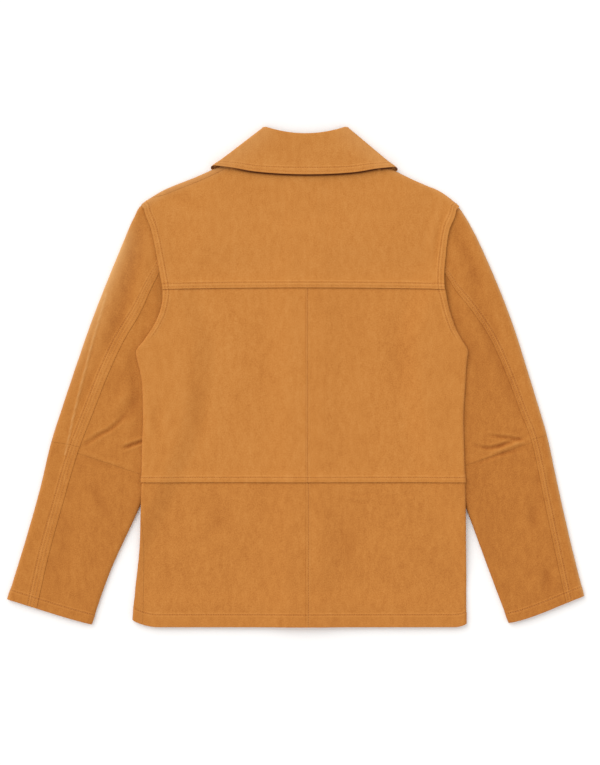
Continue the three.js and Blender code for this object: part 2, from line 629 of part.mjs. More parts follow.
function sleevePieces(side, table, elbowStep) {
  const shape = sleeveShape(side, table);
  const half = SEAM_GAP / 2;
  const face = side === 'left' ? -1 : 1;
  const backSeam = (along) => shape.reachOf(shape.column.seam(along), along);
  const frontSeam = (along) => 2 * shape.round(along) - shape.reachOf(FRONT_SEAM_SHARE, along);
  const quarter = SLEEVE_QUARTER;
  const topStops = (along) => {
    const end = backSeam(along) - half;
    return [frontSeam(along) - 2 * shape.round(along) + half, -quarter, quarter, end];
  };
  const underStops = (along) => {
    const inner = shape.round(along);
    return [backSeam(along) + half, inner - quarter, inner + quarter, frontSeam(along) - half];
  };
  const lengths = { upper: { rows: 11, low: 0, high: ELBOW }, lower: { rows: 6, low: ELBOW, high: CUFF } };
  const layers = {
    top: { stops: topStops, counts: [4, 4, 3] },
    under: { stops: underStops, counts: [4, 4, 2] },
  };
  const pieces = [];
  for (const [layerName, layer] of Object.entries(layers)) {
    for (const [lengthName, length] of Object.entries(lengths)) {
      const gap = half / ELBOW_SECTION;
      const low = lengthName === 'upper' ? length.low : length.low + gap;
      const high = lengthName === 'upper' ? length.high - gap : length.high;
      const alongAt = (c, r) => {
        const t = r / length.rows;
        const step = layerName === 'top' ? elbowStep * elbowShare(c, layer.counts) : 0;
        return mix(low, high, t) - step * (lengthName === 'upper' ? t : 1 - t);
      };
      const outer = (c, r) => {
        const along = alongAt(c, r);
        return shape.point(stepAlong(layer.stops(along), layer.counts, c), along);
      };
      const thickness = (c, r) => WALL + (alongAt(c, r) > CUFF - CUFF_DEPTH / CUFF_SECTION ? HEM_EXTRA : 0);
      const name = `${side}_sleeve_${layerName}_${lengthName}`;
      const colour = layerName === 'top' ? TAN : TAN_DARK;
      pieces.push(clothWall(name, colour, total(layer.counts), length.rows, face, outer, thickness));
    }
  }
  return pieces;
}

// The elbow seam slants on the outer piece's upper layer only.
function elbowShare(c, counts) {
  return clamp((c - counts[0] - counts[1]) / counts[2], 0, 1);
}

// The collar is a flattened band round the neck: its leaf outside, its stand inside, joined at the roll.
const COLLAR_TOP_Z = COLLAR_LIFT + BODY_HEIGHT;
const COLLAR_LOW_Z = COLLAR_HALF;
const COLLAR_MID_X = 14.2;
const mirrored = (point) => [2 * COLLAR_MID_X - point[0], point[1]];
const ROLL_CORNER = [-49.5, 373.1];
const LEAF_CORNER = [-125.5, 317];
const RIGHT_LEAF_CORNER = [-122.1, 313.5];    // as if on the left; this side lies a little further in
const STAND_CORNER = NECK_POINT.left;
const ROLL_END = [11.2, 270];
const LEAF_POINT = [-42, 208];
const STAND_END = [11.2, 247.6];
const COLLAR_BANDS = [6, 4, 10, 4, 6];

// One ring of the collar in plan and height: from the left front end, round the back, to the right front end.
function collarRing(c, curve) {
  const counts = COLLAR_BANDS;
  const starts = counts.map((_, k) => counts.slice(0, k).reduce((sum, n) => sum + n, 0));
  let band = 0;
  while (band < counts.length - 1 && c > starts[band + 1]) band += 1;
  const t = (c - starts[band]) / counts[band];
  const mid = (COLLAR_TOP_Z + COLLAR_LOW_Z) / 2;
  const half = (COLLAR_TOP_Z - COLLAR_LOW_Z) / 2;
  const flip = band > 2 || (band === 2 && t > 0.5);
  const seen = (point) => (flip ? mirrored(point) : point);
  const rightCorner = curve.rightCorner ?? curve.corner;
  const corner = flip ? rightCorner : curve.corner;
  if (band === 0 || band === 4) {
    const way = band === 0 ? t : 1 - t;
    const from = curve.end;
    const to = [corner[0] + COLLAR_CURL, corner[1]];
    const plan = arc(from, to, curve.frontBow, way);
    const [x, y] = seen([plan.x, plan.y]);
    return { x, y, z: COLLAR_LOW_Z, nx: 0, nz: -1 };
  }
  if (band === 2) {
    const left = [curve.corner[0] + COLLAR_CURL, curve.corner[1]];
    const right = mirrored([rightCorner[0] + COLLAR_CURL, rightCorner[1]]);
    const plan = arc(left, right, curve.backBow, t);
    return { x: plan.x, y: plan.y, z: COLLAR_TOP_Z, nx: 0, nz: 1 };
  }
  const turn = mix(-Math.PI / 2, Math.PI / 2, band === 1 ? t : 1 - t);
  const outwards = band === 1 ? -1 : 1;
  const [x, y] = seen([corner[0] + COLLAR_CURL * (1 - Math.cos(turn)), corner[1]]);
  return { x, y, z: mid + half * Math.sin(turn), nx: outwards * Math.cos(turn), nz: Math.sin(turn) };
}

const ROLL = { corner: ROLL_CORNER, end: ROLL_END, frontBow: 4, backBow: -7 };
const LEAF_EDGE = {
  corner: LEAF_CORNER, rightCorner: RIGHT_LEAF_CORNER, end: LEAF_POINT, frontBow: 4, backBow: -16.5,
};
const STAND_EDGE = { corner: STAND_CORNER, end: STAND_END, frontBow: 20, backBow: -9 };

// A point `share` of the way from the roll to another ring, `out` from the middle of the collar's thickness.
function collarPoint(c, ring, share, out, past = 0) {
  const roll = collarRing(c, ROLL);
  const edge = collarRing(c, ring);
  const away = new THREE.Vector2(roll.x - edge.x, roll.y - edge.y).normalize().multiplyScalar(past);
  const x = mix(roll.x, edge.x, share) + away.x + roll.nx * out;
  const y = mix(roll.y, edge.y, share) + away.y;
  return new THREE.Vector3(x, y, mix(roll.z, edge.z, share) + roll.nz * out);
}

function collarLeaf() {
  const columns = total(COLLAR_BANDS);
  const rows = { hidden: 1, curl: 4, flat: 6 };
  const outer = (c, r) => {
    if (r < rows.hidden) return collarPoint(c, STAND_EDGE, 0, -COLLAR_HALF, -ROLL_TUCK);
    if (r < rows.hidden + rows.curl) {
      const turn = Math.PI * (1 - (r - rows.hidden) / rows.curl);
      return collarPoint(c, STAND_EDGE, 0, COLLAR_HALF * Math.cos(turn), ROLL_CURL * Math.sin(turn));
    }
    const share = (r - rows.hidden - rows.curl) / rows.flat;
    const point = collarPoint(c, LEAF_EDGE, share, COLLAR_HALF);
    const onTop = clamp(collarRing(c, ROLL).nz, 0, 1);
    point.z += LEAF_SPRING * share ** 3 * onTop;
    return point;
  };
  return clothWall('collar_leaf', TAN_LIGHT, columns, total(Object.values(rows)), -1, outer);
}

function collarStand() {
  const columns = total(COLLAR_BANDS);
  const rows = 3;
  const outer = (c, r) => collarPoint(c, STAND_EDGE, mix(0.12, 0.97, r / rows), -SEAM_GAP);
  return clothWall('collar_stand', TAN_DARK, columns, rows, -1, outer);
}

function button(index, y) {
  const rim = 1.2;
  const profile = [
    [0, 0.5],
    [BUTTON_RADIUS - 3.4, 0.5],
    [BUTTON_RADIUS - 2.4, 0],
    [BUTTON_RADIUS - 0.8, 0],
    [BUTTON_RADIUS, rim],
    [BUTTON_RADIUS - 0.6, BUTTON_HEIGHT],
    [0, BUTTON_HEIGHT],
  ];
  const points = profile.map(([radius, height]) => new THREE.Vector2(radius, height));
  const geometry = new THREE.LatheGeometry(points, 16);
  geometry.rotateX(Math.PI / 2);
  const mesh = namedMesh(`button_${index + 1}`, geometry, { color: HORN, roughness: 0.45, metalness: 0 });
  mesh.position.set(CENTRE_FRONT_X, y, 0);
  return mesh;
}

const jacket = new THREE.Group();
const PANEL = { ys: PANEL_ROWS, lapsBelow: true, hem: false };
const SKIRT = { ys: SKIRT_ROWS, lapsBelow: false, hem: true };
jacket.add(backYoke());
for (const side of ['left', 'right']) {
  jacket.add(backPiece(`back_panel_${side}`, side === 'left' ? TAN_LIGHT : TAN, side, PANEL));
  jacket.add(backPiece(`back_skirt_${side}`, TAN, side, SKIRT));
  jacket.add(front(side));
}
jacket.add(...sleevePieces('left', LEFT_SLEEVE, LEFT_ELBOW_STEP));
jacket.add(...sleevePieces('right', RIGHT_SLEEVE, RIGHT_ELBOW_STEP));
jacket.add(collarLeaf());
jacket.add(collarStand());
BUTTON_YS.forEach((y, index) => jacket.add(button(index, y)));

export default jacket;
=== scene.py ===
# %% [markdown]
# # A tan suede jacket, laid flat with its back up
# The jacket lies on its fronts, the hem towards -Y, the collar towards +Y and the wearer's left at -X.
# Each piece of suede is one thin closed shell, worked out from the same short tables as its solid.
# Sizes are in millimetres up to the moment when a mesh is made, and Blender's metres from there on.

# %% Load the frame
import math

import bmesh
import bpy
import numpy as np
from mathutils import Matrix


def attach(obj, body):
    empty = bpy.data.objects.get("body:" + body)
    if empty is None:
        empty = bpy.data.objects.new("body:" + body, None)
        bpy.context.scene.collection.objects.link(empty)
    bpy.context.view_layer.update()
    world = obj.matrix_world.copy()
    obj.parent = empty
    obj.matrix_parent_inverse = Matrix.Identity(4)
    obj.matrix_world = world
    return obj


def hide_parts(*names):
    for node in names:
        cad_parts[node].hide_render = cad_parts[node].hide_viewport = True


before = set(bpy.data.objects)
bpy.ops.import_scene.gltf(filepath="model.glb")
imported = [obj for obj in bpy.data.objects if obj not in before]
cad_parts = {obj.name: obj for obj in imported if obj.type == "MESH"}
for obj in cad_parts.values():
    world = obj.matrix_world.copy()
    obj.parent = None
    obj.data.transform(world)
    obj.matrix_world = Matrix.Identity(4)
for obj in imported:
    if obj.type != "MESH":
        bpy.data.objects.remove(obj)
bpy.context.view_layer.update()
MM = 0.001
print("frame loaded:", len(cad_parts), "nodes")

# %% [markdown]
# ## Sizes
# The cloth, the flattened body and sleeves, and where the seams lie.

# %% Sizes
WALL = 1.6
SEAM_GAP = 0.06
SIDE_GAP = 0.08
BODY_HEIGHT = 5.6
BODY_CURL = 4
BODY_QUARTER = 5.4
SLEEVE_HEIGHT = 6.8
ARMHOLE_HEIGHT = 4.2
SLEEVE_CURL = 6
SLEEVE_QUARTER = 7.6
OVER_SLEEVE = 7.1
SLEEVE_CLEAR = 8
SLEEVE_SLOPE = 42
SEAM_LAP = 6
LAP_RISE = 1.05
LAP_SINK = 0.75
HEM_DEPTH = 18
HEM_EXTRA = 0.8
CUFF_DEPTH = 15
YOKE_SEAM_Y = 133.5
CHEST_Y = YOKE_SEAM_Y + SEAM_LAP
WAIST_SEAM_Y = -157.8
HEM_Y = -374.5
CENTRE_BACK_X = 15
CENTRE_FRONT_X = 14
PLACKET_HALF = 15
PLACKET_LIFT = 2.7
COLLAR_LIFT = 2.2
COLLAR_HALF = 1.9
ROLL_CURL = 2.4
COLLAR_CURL = 4
ROLL_TUCK = 2
LEAF_SPRING = 1.2
CORNER_REACH = 60
ELBOW = 6
CUFF = 9
ELBOW_SECTION = 60
FRONT_SEAM_SHARE = 0.72


def table(columns, *rows):
    """A short table: a list of rows, each with its columns by name."""
    return [dict(zip(columns.split(), row)) for row in rows]


# Edge of the back, left and right, from the shoulder tips down to the hem.
BODY_EDGE = table(
    "y left right",
    (258, -232.5, 247), (250.5, -227.8, 241.5), (241.5, -223.5, 236.2), (223.5, -217.5, 230.2),
    (205.5, -213, 226.5),
    (183, -208.5, 224), (160.5, -204.5, 222), (138, -200.3, 222), (118.5, -199, 225),
    (100.5, -202.2, 228.9), (84, -208.5, 234), (69, -217, 240), (54, -228, 249),
    (40.5, -238.6, 256.8), (28.5, -238.2, 256.2), (10.5, -233.6, 254.5), (-12, -230.3, 253.2),
    (-57, -228.8, 250.5), (-102, -230.3, 251.3), (-154.5, -231, 252.8), (-207, -232.5, 254),
    (-252, -234, 254.3), (-297, -238.5, 255), (-334.5, -243.3, 255), (-376, -245.5, 255),
)
# How far the left front reaches round its fold onto the back.
LEFT_SIDE_WRAP = table(
    "y reach",
    (260, 0), (-185, 0), (-207, 2.5), (-252, 7.5), (-297, 12), (-340, 16.5), (-380, 17.5),
)
# Inner boundary of each sleeve, most of it hidden under the body.
SLEEVE_INNER = table(
    "y left right",
    (261, -226, 239.5), (256, -225.6, 239), (248, -222.5, 236.2), (223.5, -213.5, 226.2),
    (183, -204.4, 219.9), (138, -195.5, 216),
    (108, -188, 211), (84, -178, 203), (58.5, -168, 196), (25, -168, 197), (-10, -170.5, 199),
    (-40, -178, 203), (-95, -191, 214), (-151.5, -214.5, 232.5), (-214.5, -243, 260),
    (-291, -278.2, 288), (-369.5, -306.3, 318.9),
)
# Sections across each sleeve from its outer to its inner fold, with the share of the back seam.
SECTIONS = "along outer_x outer_y inner_x inner_y seam"
SLEEVES = {
    "left": table(
        SECTIONS,
        (0, -226, 261, -168, 58.5, 0.5), (0.15, -235.3, 254, -168, 55, 0.49),
        (0.3, -240.4, 244, -168, 52, 0.485), (0.5, -246.8, 231, -167.9, 48, 0.475),
        (1, -258, 204, -167.5, 37.5, 0.45),
        (2, -282, 145.5, -168, 15, 0.41), (3, -306, 84, -171, -9, 0.347),
        (4, -328.5, 19.5, -178.5, -39, 0.308), (5, -349.5, -43.5, -193.5, -100.5, 0.278),
        (6, -367.5, -100.5, -214.5, -151.5, 0.265), (7, -384, -169.5, -243, -214.5, 0.264),
        (8, -406.5, -249, -278.2, -291, 0.293), (9, -432.5, -333, -306.3, -370.5, 0.35),
    ),
    "right": table(
        SECTIONS,
        (0, 239.2, 258.2, 196, 58.5, 0.49), (0.15, 245.6, 252, 196, 55, 0.48),
        (0.3, 252, 242.4, 196.1, 52, 0.475), (0.5, 258.8, 231.4, 196.2, 48, 0.465),
        (1, 273, 204, 196.5, 37.5, 0.44),
        (2, 301.5, 139.5, 197, 15, 0.345), (3, 325.5, 76.5, 199, -9, 0.26),
        (4, 346.5, 10.5, 204, -42, 0.21), (5, 363, -43.5, 216, -94.5, 0.183),
        (6, 376.5, -90, 232.5, -139.5, 0.163), (7, 393, -166.5, 261, -213, 0.178),
        (8, 411, -246, 289.5, -291, 0.203), (9, 431.5, -328.2, 318.9, -368.4, 0.24),
    ),
}
ELBOW_STEP = {"left": 0.15, "right": 0.07}
# How far the cuff's edge bows past its corners.
CUFF_BOW = {"left": 1.2, "right": 3}

# %% [markdown]
# ## Curves
# Small vector helpers: a smooth step, a curve through a table's column and a shallow arc.


# %% Curves
def mix(a, b, t):
    return a + (b - a) * t


def ease(value, low, high):
    t = np.clip((value - low) / (high - low), 0, 1)
    return t * t * (3 - 2 * t)


def table_curve(rows, key, column):
    """A smooth curve through one column of a table, read at any value of its key column."""
    ordered = sorted(rows, key=lambda row: row[key])
    keys = np.array([row[key] for row in ordered], float)
    values = np.array([row[column] for row in ordered], float)
    last = len(keys) - 1
    low = np.maximum(np.arange(last + 1) - 1, 0)
    high = np.minimum(np.arange(last + 1) + 1, last)
    slopes = (values[high] - values[low]) / (keys[high] - keys[low])

    def curve(value):
        at = np.clip(value, keys[0], keys[-1])
        i = np.clip(np.searchsorted(keys, at, side="right") - 1, 0, last - 1)
        span = keys[i + 1] - keys[i]
        t = (at - keys[i]) / span
        flat = mix(values[i], values[i + 1], t * t * (3 - 2 * t))
        return flat + t * (1 - t) * span * ((1 - t) * slopes[i] - t * slopes[i + 1])

    return curve


def both_sides(rows):
    return {side: table_curve(rows, "y", side) for side in ("left", "right")}


body_edge = both_sides(BODY_EDGE)
sleeve_inner = both_sides(SLEEVE_INNER)
left_wrap = table_curve(LEFT_SIDE_WRAP, "y", "reach")
INWARD = {"left": 1, "right": -1}


def side_wrap(side, y):
    return np.maximum(left_wrap(y), 0) if side == "left" else np.zeros_like(y)


def bowed(a, b, offset, slope, t):
    """A line from a to b, `offset` to the left of its way, where `slope` is how fast that grows."""
    dx, dy = b[0] - a[0], b[1] - a[1]
    length = math.hypot(dx, dy)
    tangent_x, tangent_y = dx - dy * slope / length, dy + dx * slope / length
    size = np.hypot(tangent_x, tangent_y)
    return {
        "x": mix(a[0], b[0], t) - dy * offset / length,
        "y": mix(a[1], b[1], t) + dx * offset / length,
        "nx": -tangent_y / size,
        "ny": tangent_x / size,
    }


def arc(a, b, bow, t):
    """A shallow arc from a to b, bowed to the left of its way: x, y and its unit normal."""
    return bowed(a, b, bow * 4 * t * (1 - t), bow * 4 * (1 - 2 * t), t)


def round_edge(reach, curl, quarter):
    """How far in from the edge of a flattened tube, and at what share of its height, a point lies."""
    turn = np.clip(reach / quarter, -1, 1) * math.pi / 2
    past = np.maximum(np.abs(reach) - quarter, 0)
    return curl * (1 - np.cos(turn)) + past, 0.5 + 0.5 * np.sin(turn)


waist_edges = {side: round(float(edge(WAIST_SEAM_Y)), 1) for side, edge in body_edge.items()}
print("body edge at the waist:", waist_edges)

# %% [markdown]
# ## How high the cloth lies
# The fronts lift over the sleeves, the collar's points and the buttons, and the back follows them.


# %% Heights
OVER_LAP = 1.3
OVER_PLACKET = 1.6
OVER_HEM = 1.7


def over_sleeve(side, x, y):
    beyond = INWARD[side] * (x - sleeve_inner[side](y))
    across = 1 - ease(beyond, SLEEVE_CLEAR, SLEEVE_CLEAR + SLEEVE_SLOPE)
    return OVER_SLEEVE * across * (1 - ease(y, 110, 180))


def over_collar(x, y):
    across = np.abs(x - CENTRE_FRONT_X)
    return COLLAR_LIFT * ease(y, 160, 206) * (1 - ease(across, 145, 200))


def over_buttons(x):
    return PLACKET_LIFT * (1 - ease(np.abs(x - CENTRE_FRONT_X), PLACKET_HALF + 3, 60))


def front_height(x, y):
    lifts = (over_sleeve("left", x, y), over_sleeve("right", x, y), over_collar(x, y), over_buttons(x))
    return np.maximum.reduce(lifts)


def hem_share(y):
    return 1 - ease(y, HEM_Y + HEM_DEPTH + 14, HEM_Y + HEM_DEPTH + 40)


def right_front_height(x, y):
    layer = WALL + 2 * SEAM_GAP + HEM_EXTRA * hem_share(y)
    return front_height(x, y) + layer * (1 - ease(x - CENTRE_FRONT_X, PLACKET_HALF + 2, PLACKET_HALF + 40))


def back_height(x, y):
    armhole = np.minimum(x - body_edge["left"](y), body_edge["right"](y) - x)
    over_lap = OVER_LAP * (1 - ease(armhole, 6, 30)) * ease(y, 125, 160)
    beside_placket = ease(np.abs(x - CENTRE_FRONT_X - 12), 30, 100)
    over_placket = OVER_PLACKET * (1 - beside_placket) * (1 - ease(y, 215, 245))
    return front_height(x, y) + BODY_HEIGHT + over_lap + over_placket + OVER_HEM * hem_share(y)


def front_edge(side, y):
    beside = sleeve_inner[side](y) + INWARD[side] * (SEAM_GAP + 1.2)
    return mix(body_edge[side](y), beside, ease(y, 124, 138))


def points(x, y, z):
    return np.stack(np.broadcast_arrays(x, y, z), axis=-1).astype(float)


def body_point(side, reach, y, layer, sink=0.0):
    """A point of the flattened body, `reach` along the cloth from its side edge."""
    inset, rounded_share = round_edge(reach, BODY_CURL, BODY_QUARTER)
    rounded = 1 - ease(y, 108, 138)
    edge = body_edge[side](y) if layer == "back" else front_edge(side, y)
    turn_cosine = np.cos(np.clip(reach / BODY_QUARTER, -1, 1) * math.pi / 2)
    x = edge + INWARD[side] * (inset + sink * turn_cosine * rounded)
    share = mix(np.where(reach >= 0, 1.0, 0.0), rounded_share, rounded)
    low = right_front_height(x, y) if (side, layer) == ("right", "front") else front_height(x, y)
    return points(x, y, mix(low, back_height(x, y), share) - sink * (2 * share - 1))


def corner_rise(side, x, y):
    """The rounded lower corners of the body."""
    width, rise = (40, 10.5) if side == "left" else (18, 4.5)
    inset = np.abs(x - body_edge[side](y))
    near_hem = 1 - np.clip((y - HEM_Y) / CORNER_REACH, 0, 1)
    return rise * (1 - np.clip(inset / width, 0, 1)) ** 2 * near_hem**2


print("height of the back at its middle:", round(float(back_height(0.0, 0.0)), 2), "mm")

# %% [markdown]
# ## Creases and soft swells
# The main folds are listed one by one: a soft trough with a low ridge on each side, thinner at its ends.
# A ridge has a negative depth. Where the photo hides a side, similar folds are placed by feel.

# %% Creases
# The long sharp ridge down the outer side of the left sleeve, from below the shoulder to the elbow.
LEFT_RIDGE = [(-284, 124), (-305, 52), (-323.5, -19), (-334.5, -64), (-341.5, -98), (-346, -116)]
CREASES = {
    "body": table(
        "path half depth",
        ([(-206, -30), (-207, -66), (-204, -98)], 7, 0.8),
        ([(-152, 42), (-149, -10), (-144, -60), (-143, -98)], 13, 0.9),
        ([(226, 250), (217, 232), (211, 205), (207, 162)], 5, 0.9),
        ([(-196, 276), (-170, 268), (-146, 256)], 9, 0.7),
        ([(66, -172), (98, -176), (130, -173)], 3, 0.35),
        ([(120, -180), (152, -178), (186, -172)], 3, 0.35),
        ([(70, -184), (92, -187), (118, -186)], 3, 0.3),
        ([(-140, -176), (-120, -205), (-112, -240)], 16, 0.6),
        ([(150, 100), (158, 40), (150, -30)], 20, 0.6),
        ([(60, -210), (72, -262), (66, -320)], 22, 0.5),
        ([(-60, 90), (-52, 30), (-60, -40)], 24, 0.5),
    ),
    "left": table(
        "path half depth",
        ([(-320, -103), (-306, -94.5), (-294, -86.5), (-279, -79), (-266, -68), (-254, -54)], 2.6, 2.2),
        ([(-266, -68), (-254, -52), (-242, -30)], 8, 1.5),
        ([(-262, -107.5), (-250, -103.5), (-238, -99), (-222, -94)], 2.5, 3),
        (LEFT_RIDGE, 1.7, -1.3),
        ([(-230, 240), (-240, 190), (-252, 140), (-268, 84), (-290, 28)], 11, 1.5),
        ([(-290, 36), (-309, -8), (-327, -58)], 6, 0.8),
        ([(-248, 44), (-242, 2), (-238, -48), (-238, -96)], 9, 1.2),
        ([(-324, -110), (-298, -119), (-286, -126), (-262, -130), (-236, -140)], 3, -0.5),
        ([(-322, -119), (-298, -128), (-280, -135), (-258, -140)], 5, 0.5),
        ([(-309, -157), (-303, -169), (-295, -183), (-279, -212)], 8, 0.7),
        ([(-262, 96), (-270, 60), (-284, 24)], 12, 0.7),
        ([(-250, 20), (-262, -6), (-276, -30)], 12, 0.7),
        ([(-330, -200), (-352, -262), (-366, -310)], 14, 0.5),
    ),
    "right": table(
        "path half depth",
        ([(286, -86), (300, -89), (321, -91.5), (338, -94.5), (350, -96)], 2.5, 1.8),
        ([(264, -100), (278, -105), (291, -106.5), (306, -103), (326, -95)], 2.5, 1.7),
        ([(292, -113), (306, -109), (322, -103), (352, -92)], 2.8, -1.6),
        ([(262, -132), (276, -127), (306, -116), (322, -112), (344, -107)], 2.4, 0.9),
        ([(256, 160), (270, 116), (290, 66), (306, 26), (326, -26), (340, -72)], 10, 1.2),
        ([(234, 219), (246, 202), (257, 178), (268, 153), (275, 130)], 9, 1.1),
        ([(355, -184), (356, -206), (354, -230)], 8, 1.0),
        ([(372, -286), (376, -304), (375, -322)], 8, 1.0),
        ([(370, -130), (371, -152), (370, -178)], 4, -0.7),
        ([(262, 60), (280, 26), (290, -20)], 14, 0.6),
    ),
    "under": table(
        "path half depth",
        ([(-120, 120), (-126, 40), (-112, -60)], 18, 0.8),
        ([(110, 90), (120, 10), (108, -80)], 16, 0.7),
        ([(-80, -150), (-88, -210), (-76, -290)], 20, 0.7),
        ([(90, -170), (84, -240), (96, -310)], 22, 0.6),
        ([(-330, -80), (-300, -92), (-268, -96)], 8, 0.8),
        ([(276, -96), (306, -92), (342, -84)], 8, 0.8),
        ([(-372, -180), (-350, -196), (-322, -200)], 10, 0.6),
        ([(330, -190), (356, -180), (382, -176)], 10, 0.6),
    ),
}


def crease_field(rows, x, y):
    """Height that the creases of a table give at a point of the plan."""
    height = np.zeros_like(x)
    for row in rows:
        path = np.array(row["path"], float)
        lengths = np.hypot(*np.diff(path, axis=0).T)
        before = np.concatenate([[0], np.cumsum(lengths)])
        nearest = np.full(x.shape, 1e9)
        along = np.zeros_like(x)
        for i, length in enumerate(lengths):
            step = (path[i + 1] - path[i]) / length
            t = np.clip((x - path[i][0]) * step[0] + (y - path[i][1]) * step[1], 0, length)
            away = np.hypot(x - path[i][0] - step[0] * t, y - path[i][1] - step[1] * t)
            along = np.where(away < nearest, before[i] + t, along)
            nearest = np.minimum(away, nearest)
        share = along / before[-1]
        taper = np.clip(np.minimum(share, 1 - share) * 3, 0, 1) ** 0.7
        across = nearest / row["half"]
        shape = np.exp(-(across**2)) - 0.4 * np.exp(-(((across - 2) / 0.8) ** 2))
        height -= row["depth"] * taper * shape
    return height


# Directions and sizes of the broad swells of leather that has been worn.
SWELLS = table(
    "size turn phase height",
    (170, 0.4, 0.3, 0.35), (120, 1.9, 2.1, 0.3), (83, 2.7, 4.4, 0.2), (57, 0.9, 1.2, 0.13),
    (41, 1.4, 5.2, 0.09), (31, 2.3, 3.3, 0.06), (23, 0.2, 0.9, 0.045), (17, 1.1, 2.6, 0.03),
)


def swell_field(x, y, seed):
    height = np.zeros_like(x)
    for row in SWELLS:
        reach = 2 * math.pi / row["size"]
        turn = row["turn"] + 1.3 * seed
        along = x * math.cos(turn) + y * math.sin(turn)
        across = -x * math.sin(turn) + y * math.cos(turn)
        bend = 0.8 * np.sin(across * reach * 0.61 + row["phase"] + seed)
        height += 0.35 * row["height"] * np.sin(along * reach + bend + row["phase"] * (1 + seed))
    return height


print("creases:", {name: len(rows) for name, rows in CREASES.items()})

# %% [markdown]
# ## Stitched seams
# Along a stitched edge the cloth is thicker, because its allowance lies under it. Each row of stitches
# pulls a narrow groove into that band. A cut edge is round, like the edge of a real hide.

# %% Seams
BAND_RISE = 0.65
GROOVE_DEPTH = 0.6
GROOVE_HALF = 0.9
# The row that lies furthest from its edge pulls the hardest.
NEAR_ROW_SHARE = 0.5
FINE_STEP = 0.8
NOSE = (0, 0.05, 0.12, 0.4, 0.8)
SEAM_NOSE = 0.1
CUT_NOSE = 0.8


def band_height(distance, rows):
    """Height of a stitched band at a distance from its edge, with its rows of stitches."""
    rise = BAND_RISE * (1 - ease(distance, max(rows) + 0.6, max(rows) + 3.4))
    for row in rows:
        pull = GROOVE_DEPTH * (1 if row == max(rows) else NEAR_ROW_SHARE)
        rise = rise - pull * np.exp(-(((distance - row) / GROOVE_HALF) ** 2))
    return rise


def groove_painted_light(distance, rows):
    """Painted shade in the rows of a band, and painted highlight (negative) on the ridges beside them."""
    dark = 0.0
    for row in rows:
        away = np.abs(distance - row) / GROOVE_HALF
        share = 1 if row == max(rows) else NEAR_ROW_SHARE
        dark = dark + share * (np.exp(-(away**2)) - 0.5 * np.exp(-((away - 2.1) ** 2)))
    return dark


def stations(length, low_band=0.0, high_band=0.0, coarse=3.6, fine=None):
    """Shares of a length where grid lines lie: close together in the stitched band at each end, and
    also in a fine stretch, given as where it starts, where it stops and its step."""
    ends = []
    for band in (low_band, high_band):
        ends.append(np.array(list(NOSE) + list(np.arange(1.4, max(band, 1.5), FINE_STEP))))
    start, stop = ends[0][-1], length - ends[1][-1]
    count = max(int(math.ceil((stop - start) / coarse)), 1)
    middle = np.linspace(start, stop, count + 1)[1:-1]
    if fine:
        outside_it = middle[(middle < fine[0]) | (middle > fine[1])]
        middle = np.sort(np.concatenate([outside_it, np.arange(fine[0] + 0.4, fine[1] - 0.4, fine[2])]))
    return np.concatenate([ends[0], middle, length - ends[1][::-1]]) / length


def nose(distance, half):
    """Share of the thickness left at a distance from a cut edge."""
    t = 1 - np.clip(distance / half, 0, 1)
    return np.sqrt(np.clip(1 - t * t, 0, 1))


def unit(vectors):
    return vectors / (np.linalg.norm(vectors, axis=-1, keepdims=True) + 1e-12)


print("stitched band:", BAND_RISE, "mm high, its grooves", GROOVE_DEPTH, "mm deep")

# %% [markdown]
# ## One cut piece
# A real piece is cut from a hide that is as thick everywhere. Here a grid of points on its outside gets the
# creases and stitched bands, and a second grid one thickness behind it closes the piece along its edges.

# %% One cut piece
pieces = {}
stitch_rows = []
# A row that is stitched along a part of its edge only: its share at each height y.
ALONG_ARMHOLE = {"u0": lambda y: ease(y, 52, 66)}
STITCHED_PART = {"suede_back_panel_left": ALONG_ARMHOLE, "suede_back_panel_right": ALONG_ARMHOLE}


